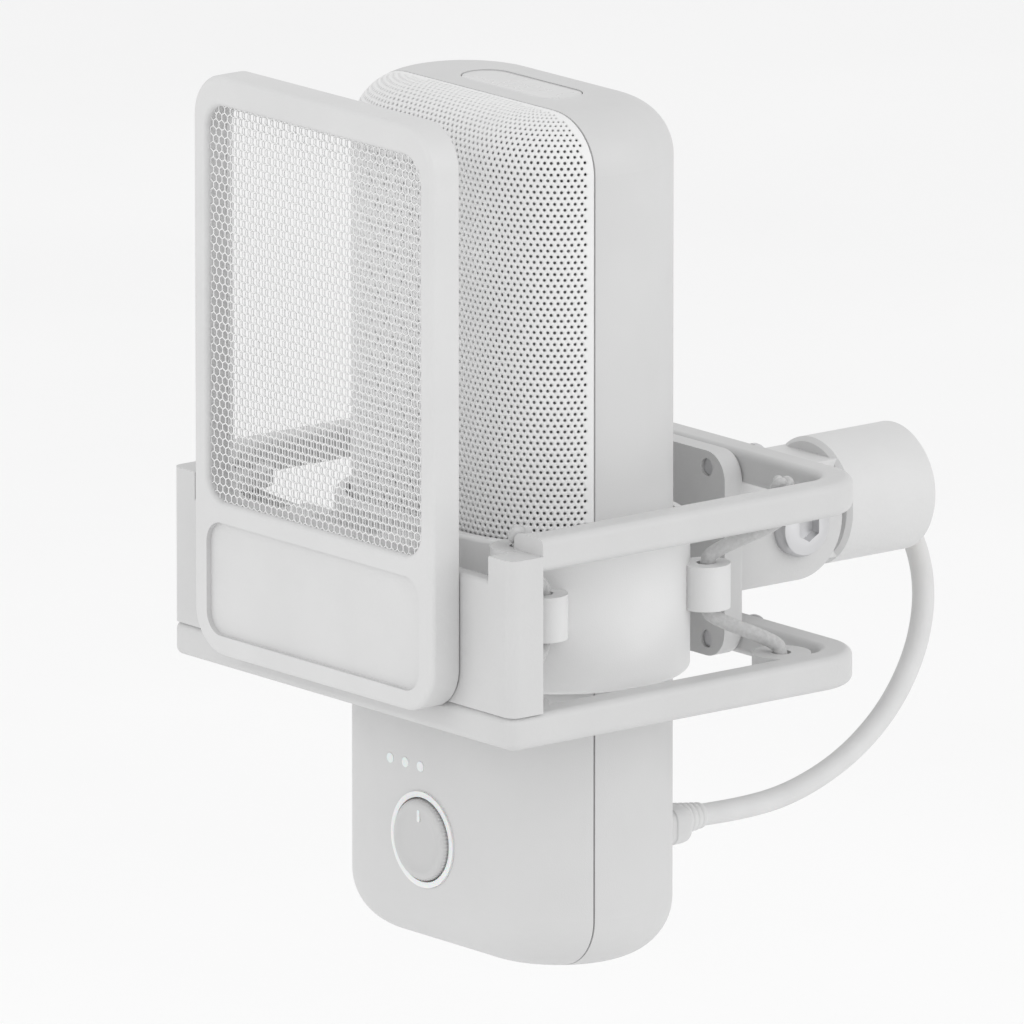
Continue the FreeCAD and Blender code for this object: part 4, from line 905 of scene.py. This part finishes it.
def shank(axis, centre, end, face, radius, tip, sides):
    """A screw's plain shank from its chamfered end to just inside its head."""
    profile = [(end, radius - tip), (end + tip, radius), (face + 0.1, radius)]
    return turned(profile, axis, centre, sides)


def make_screws():
    """Socket screws on the rear bracket and the pivot bolt."""
    head_r, head, socket, shank_r = FRAME_SCREW
    low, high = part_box("frame_bolts")
    face, end = (high.y - MIC.y) / MM - head, (low.y - MIC.y) / MM
    screws = []
    for x in (low.x / MM + head_r, high.x / MM - head_r):
        for z in ((low.z - MIC.z) / MM + head_r, (high.z - MIC.z) / MM - head_r):
            screws.append(screw_head("Y", (x, 0, z), face, head_r, head, socket))
            screws.append(shank("Y", (x, 0, z), end, face, shank_r, 0.2, 24))
    stand_in(new_piece("bracket_screws", merge(*screws), 35), "frame_bolts")

    head_r, head, socket, shank_r = PIVOT_BOLT
    low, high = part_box("pivot_bolt")
    pivot = (0, ((low.y + high.y) / 2 - MIC.y) / MM, -MIC.z / MM)
    face, end = high.x / MM - head, low.x / MM
    bolt = merge(screw_head("X", pivot, face, head_r, head, socket),
                 shank("X", pivot, end, face, shank_r, 0.5, 48))
    stand_in(new_piece("tilt_bolt", bolt, 35), "pivot_bolt")


def make_thread():
    """The boom thread: a brass insert with a helical 27-per-inch groove."""
    low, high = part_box("thread_insert")
    start, end = ((corner.y - MIC.y) / MM for corner in (low, high))
    sides, threaded, mouth = 72, end - start - 0.8, end - 0.5
    angles = np.linspace(0, 2 * math.pi, sides, endpoint=False)
    rings = [ring_y(angles, THREAD_OUTER, start), ring_y(angles, THREAD_OUTER, end),
             ring_y(angles, THREAD_MAJOR + 0.5, end)]
    steps = round(threaded / THREAD_PITCH * 6)
    for step in range(steps + 1):
        y = mouth - step * threaded / steps
        phase = (y / THREAD_PITCH + angles / (2 * math.pi)) % 1
        depth = (THREAD_MAJOR - THREAD_MINOR) * np.abs(2 * phase - 1)
        rings.append(ring_y(angles, THREAD_MINOR + depth, y))
    rings.append(ring_y(angles, THREAD_MAJOR, start))
    points, faces = loft(rings, capped=False)
    faces += closing_faces(len(rings), sides)
    stand_in(new_piece("boom_thread_insert", (points, faces), 30), "thread_insert")


def ring_y(angles, radii, y):
    """A ring of points round the boom thread's axis, at that distance along it."""
    across, up = radii * np.cos(angles), radii * np.sin(angles) - MIC.z / MM
    return np.stack([across, np.full(len(angles), y), up], axis=1)


def make_jack_ring():
    """Plated contact ring in the mouth of the headphone jack."""
    low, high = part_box("headphone_jack")
    x, z = ((a + b) / 2 / MM for a, b in ((low.x, high.x), (low.z - MIC.z, high.z - MIC.z)))
    mouth = (high.y - MIC.y) / MM
    profile = [(mouth - 3, 1.82), (mouth + 0.05, 1.82), (mouth + 0.12, 1.95), (mouth + 0.12, 2.5),
               (mouth - 0.1, 2.6)]
    angles = np.linspace(0, 2 * math.pi, 48, endpoint=False)
    rings = [np.stack([x + r * np.cos(angles), np.full(48, y), z + r * np.sin(angles)], axis=1)
             for y, r in profile]
    extra(new_piece("jack_ring", loft(rings, capped=False)), BODY["headphone_jack"], "plug_steel")


# ---------------------------------------------------------------- put together
def dress_cad():
    """Materials and soft shading for every CAD node. Pieces made later replace some of them."""
    for name, piece in frame["nodes"].items():
        piece.data.materials.clear()
        piece.data.materials.append(MATERIALS[SLOT[name]])
        shade(piece.data, 32)


BODY_TOP = (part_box("rear_housing")[1].z - MIC.z) / MM
MATERIALS = make_materials()
make_camera()
make_stage()
dress_cad()
usb_lead = make_lead()
near_relief = make_plug()
far_pieces = make_far_plug()
make_tie()
make_suspension()
make_grille()
make_filter_meshes()
make_dial()
make_tilt_knob()
make_screws()
make_thread()
make_jack_ring()
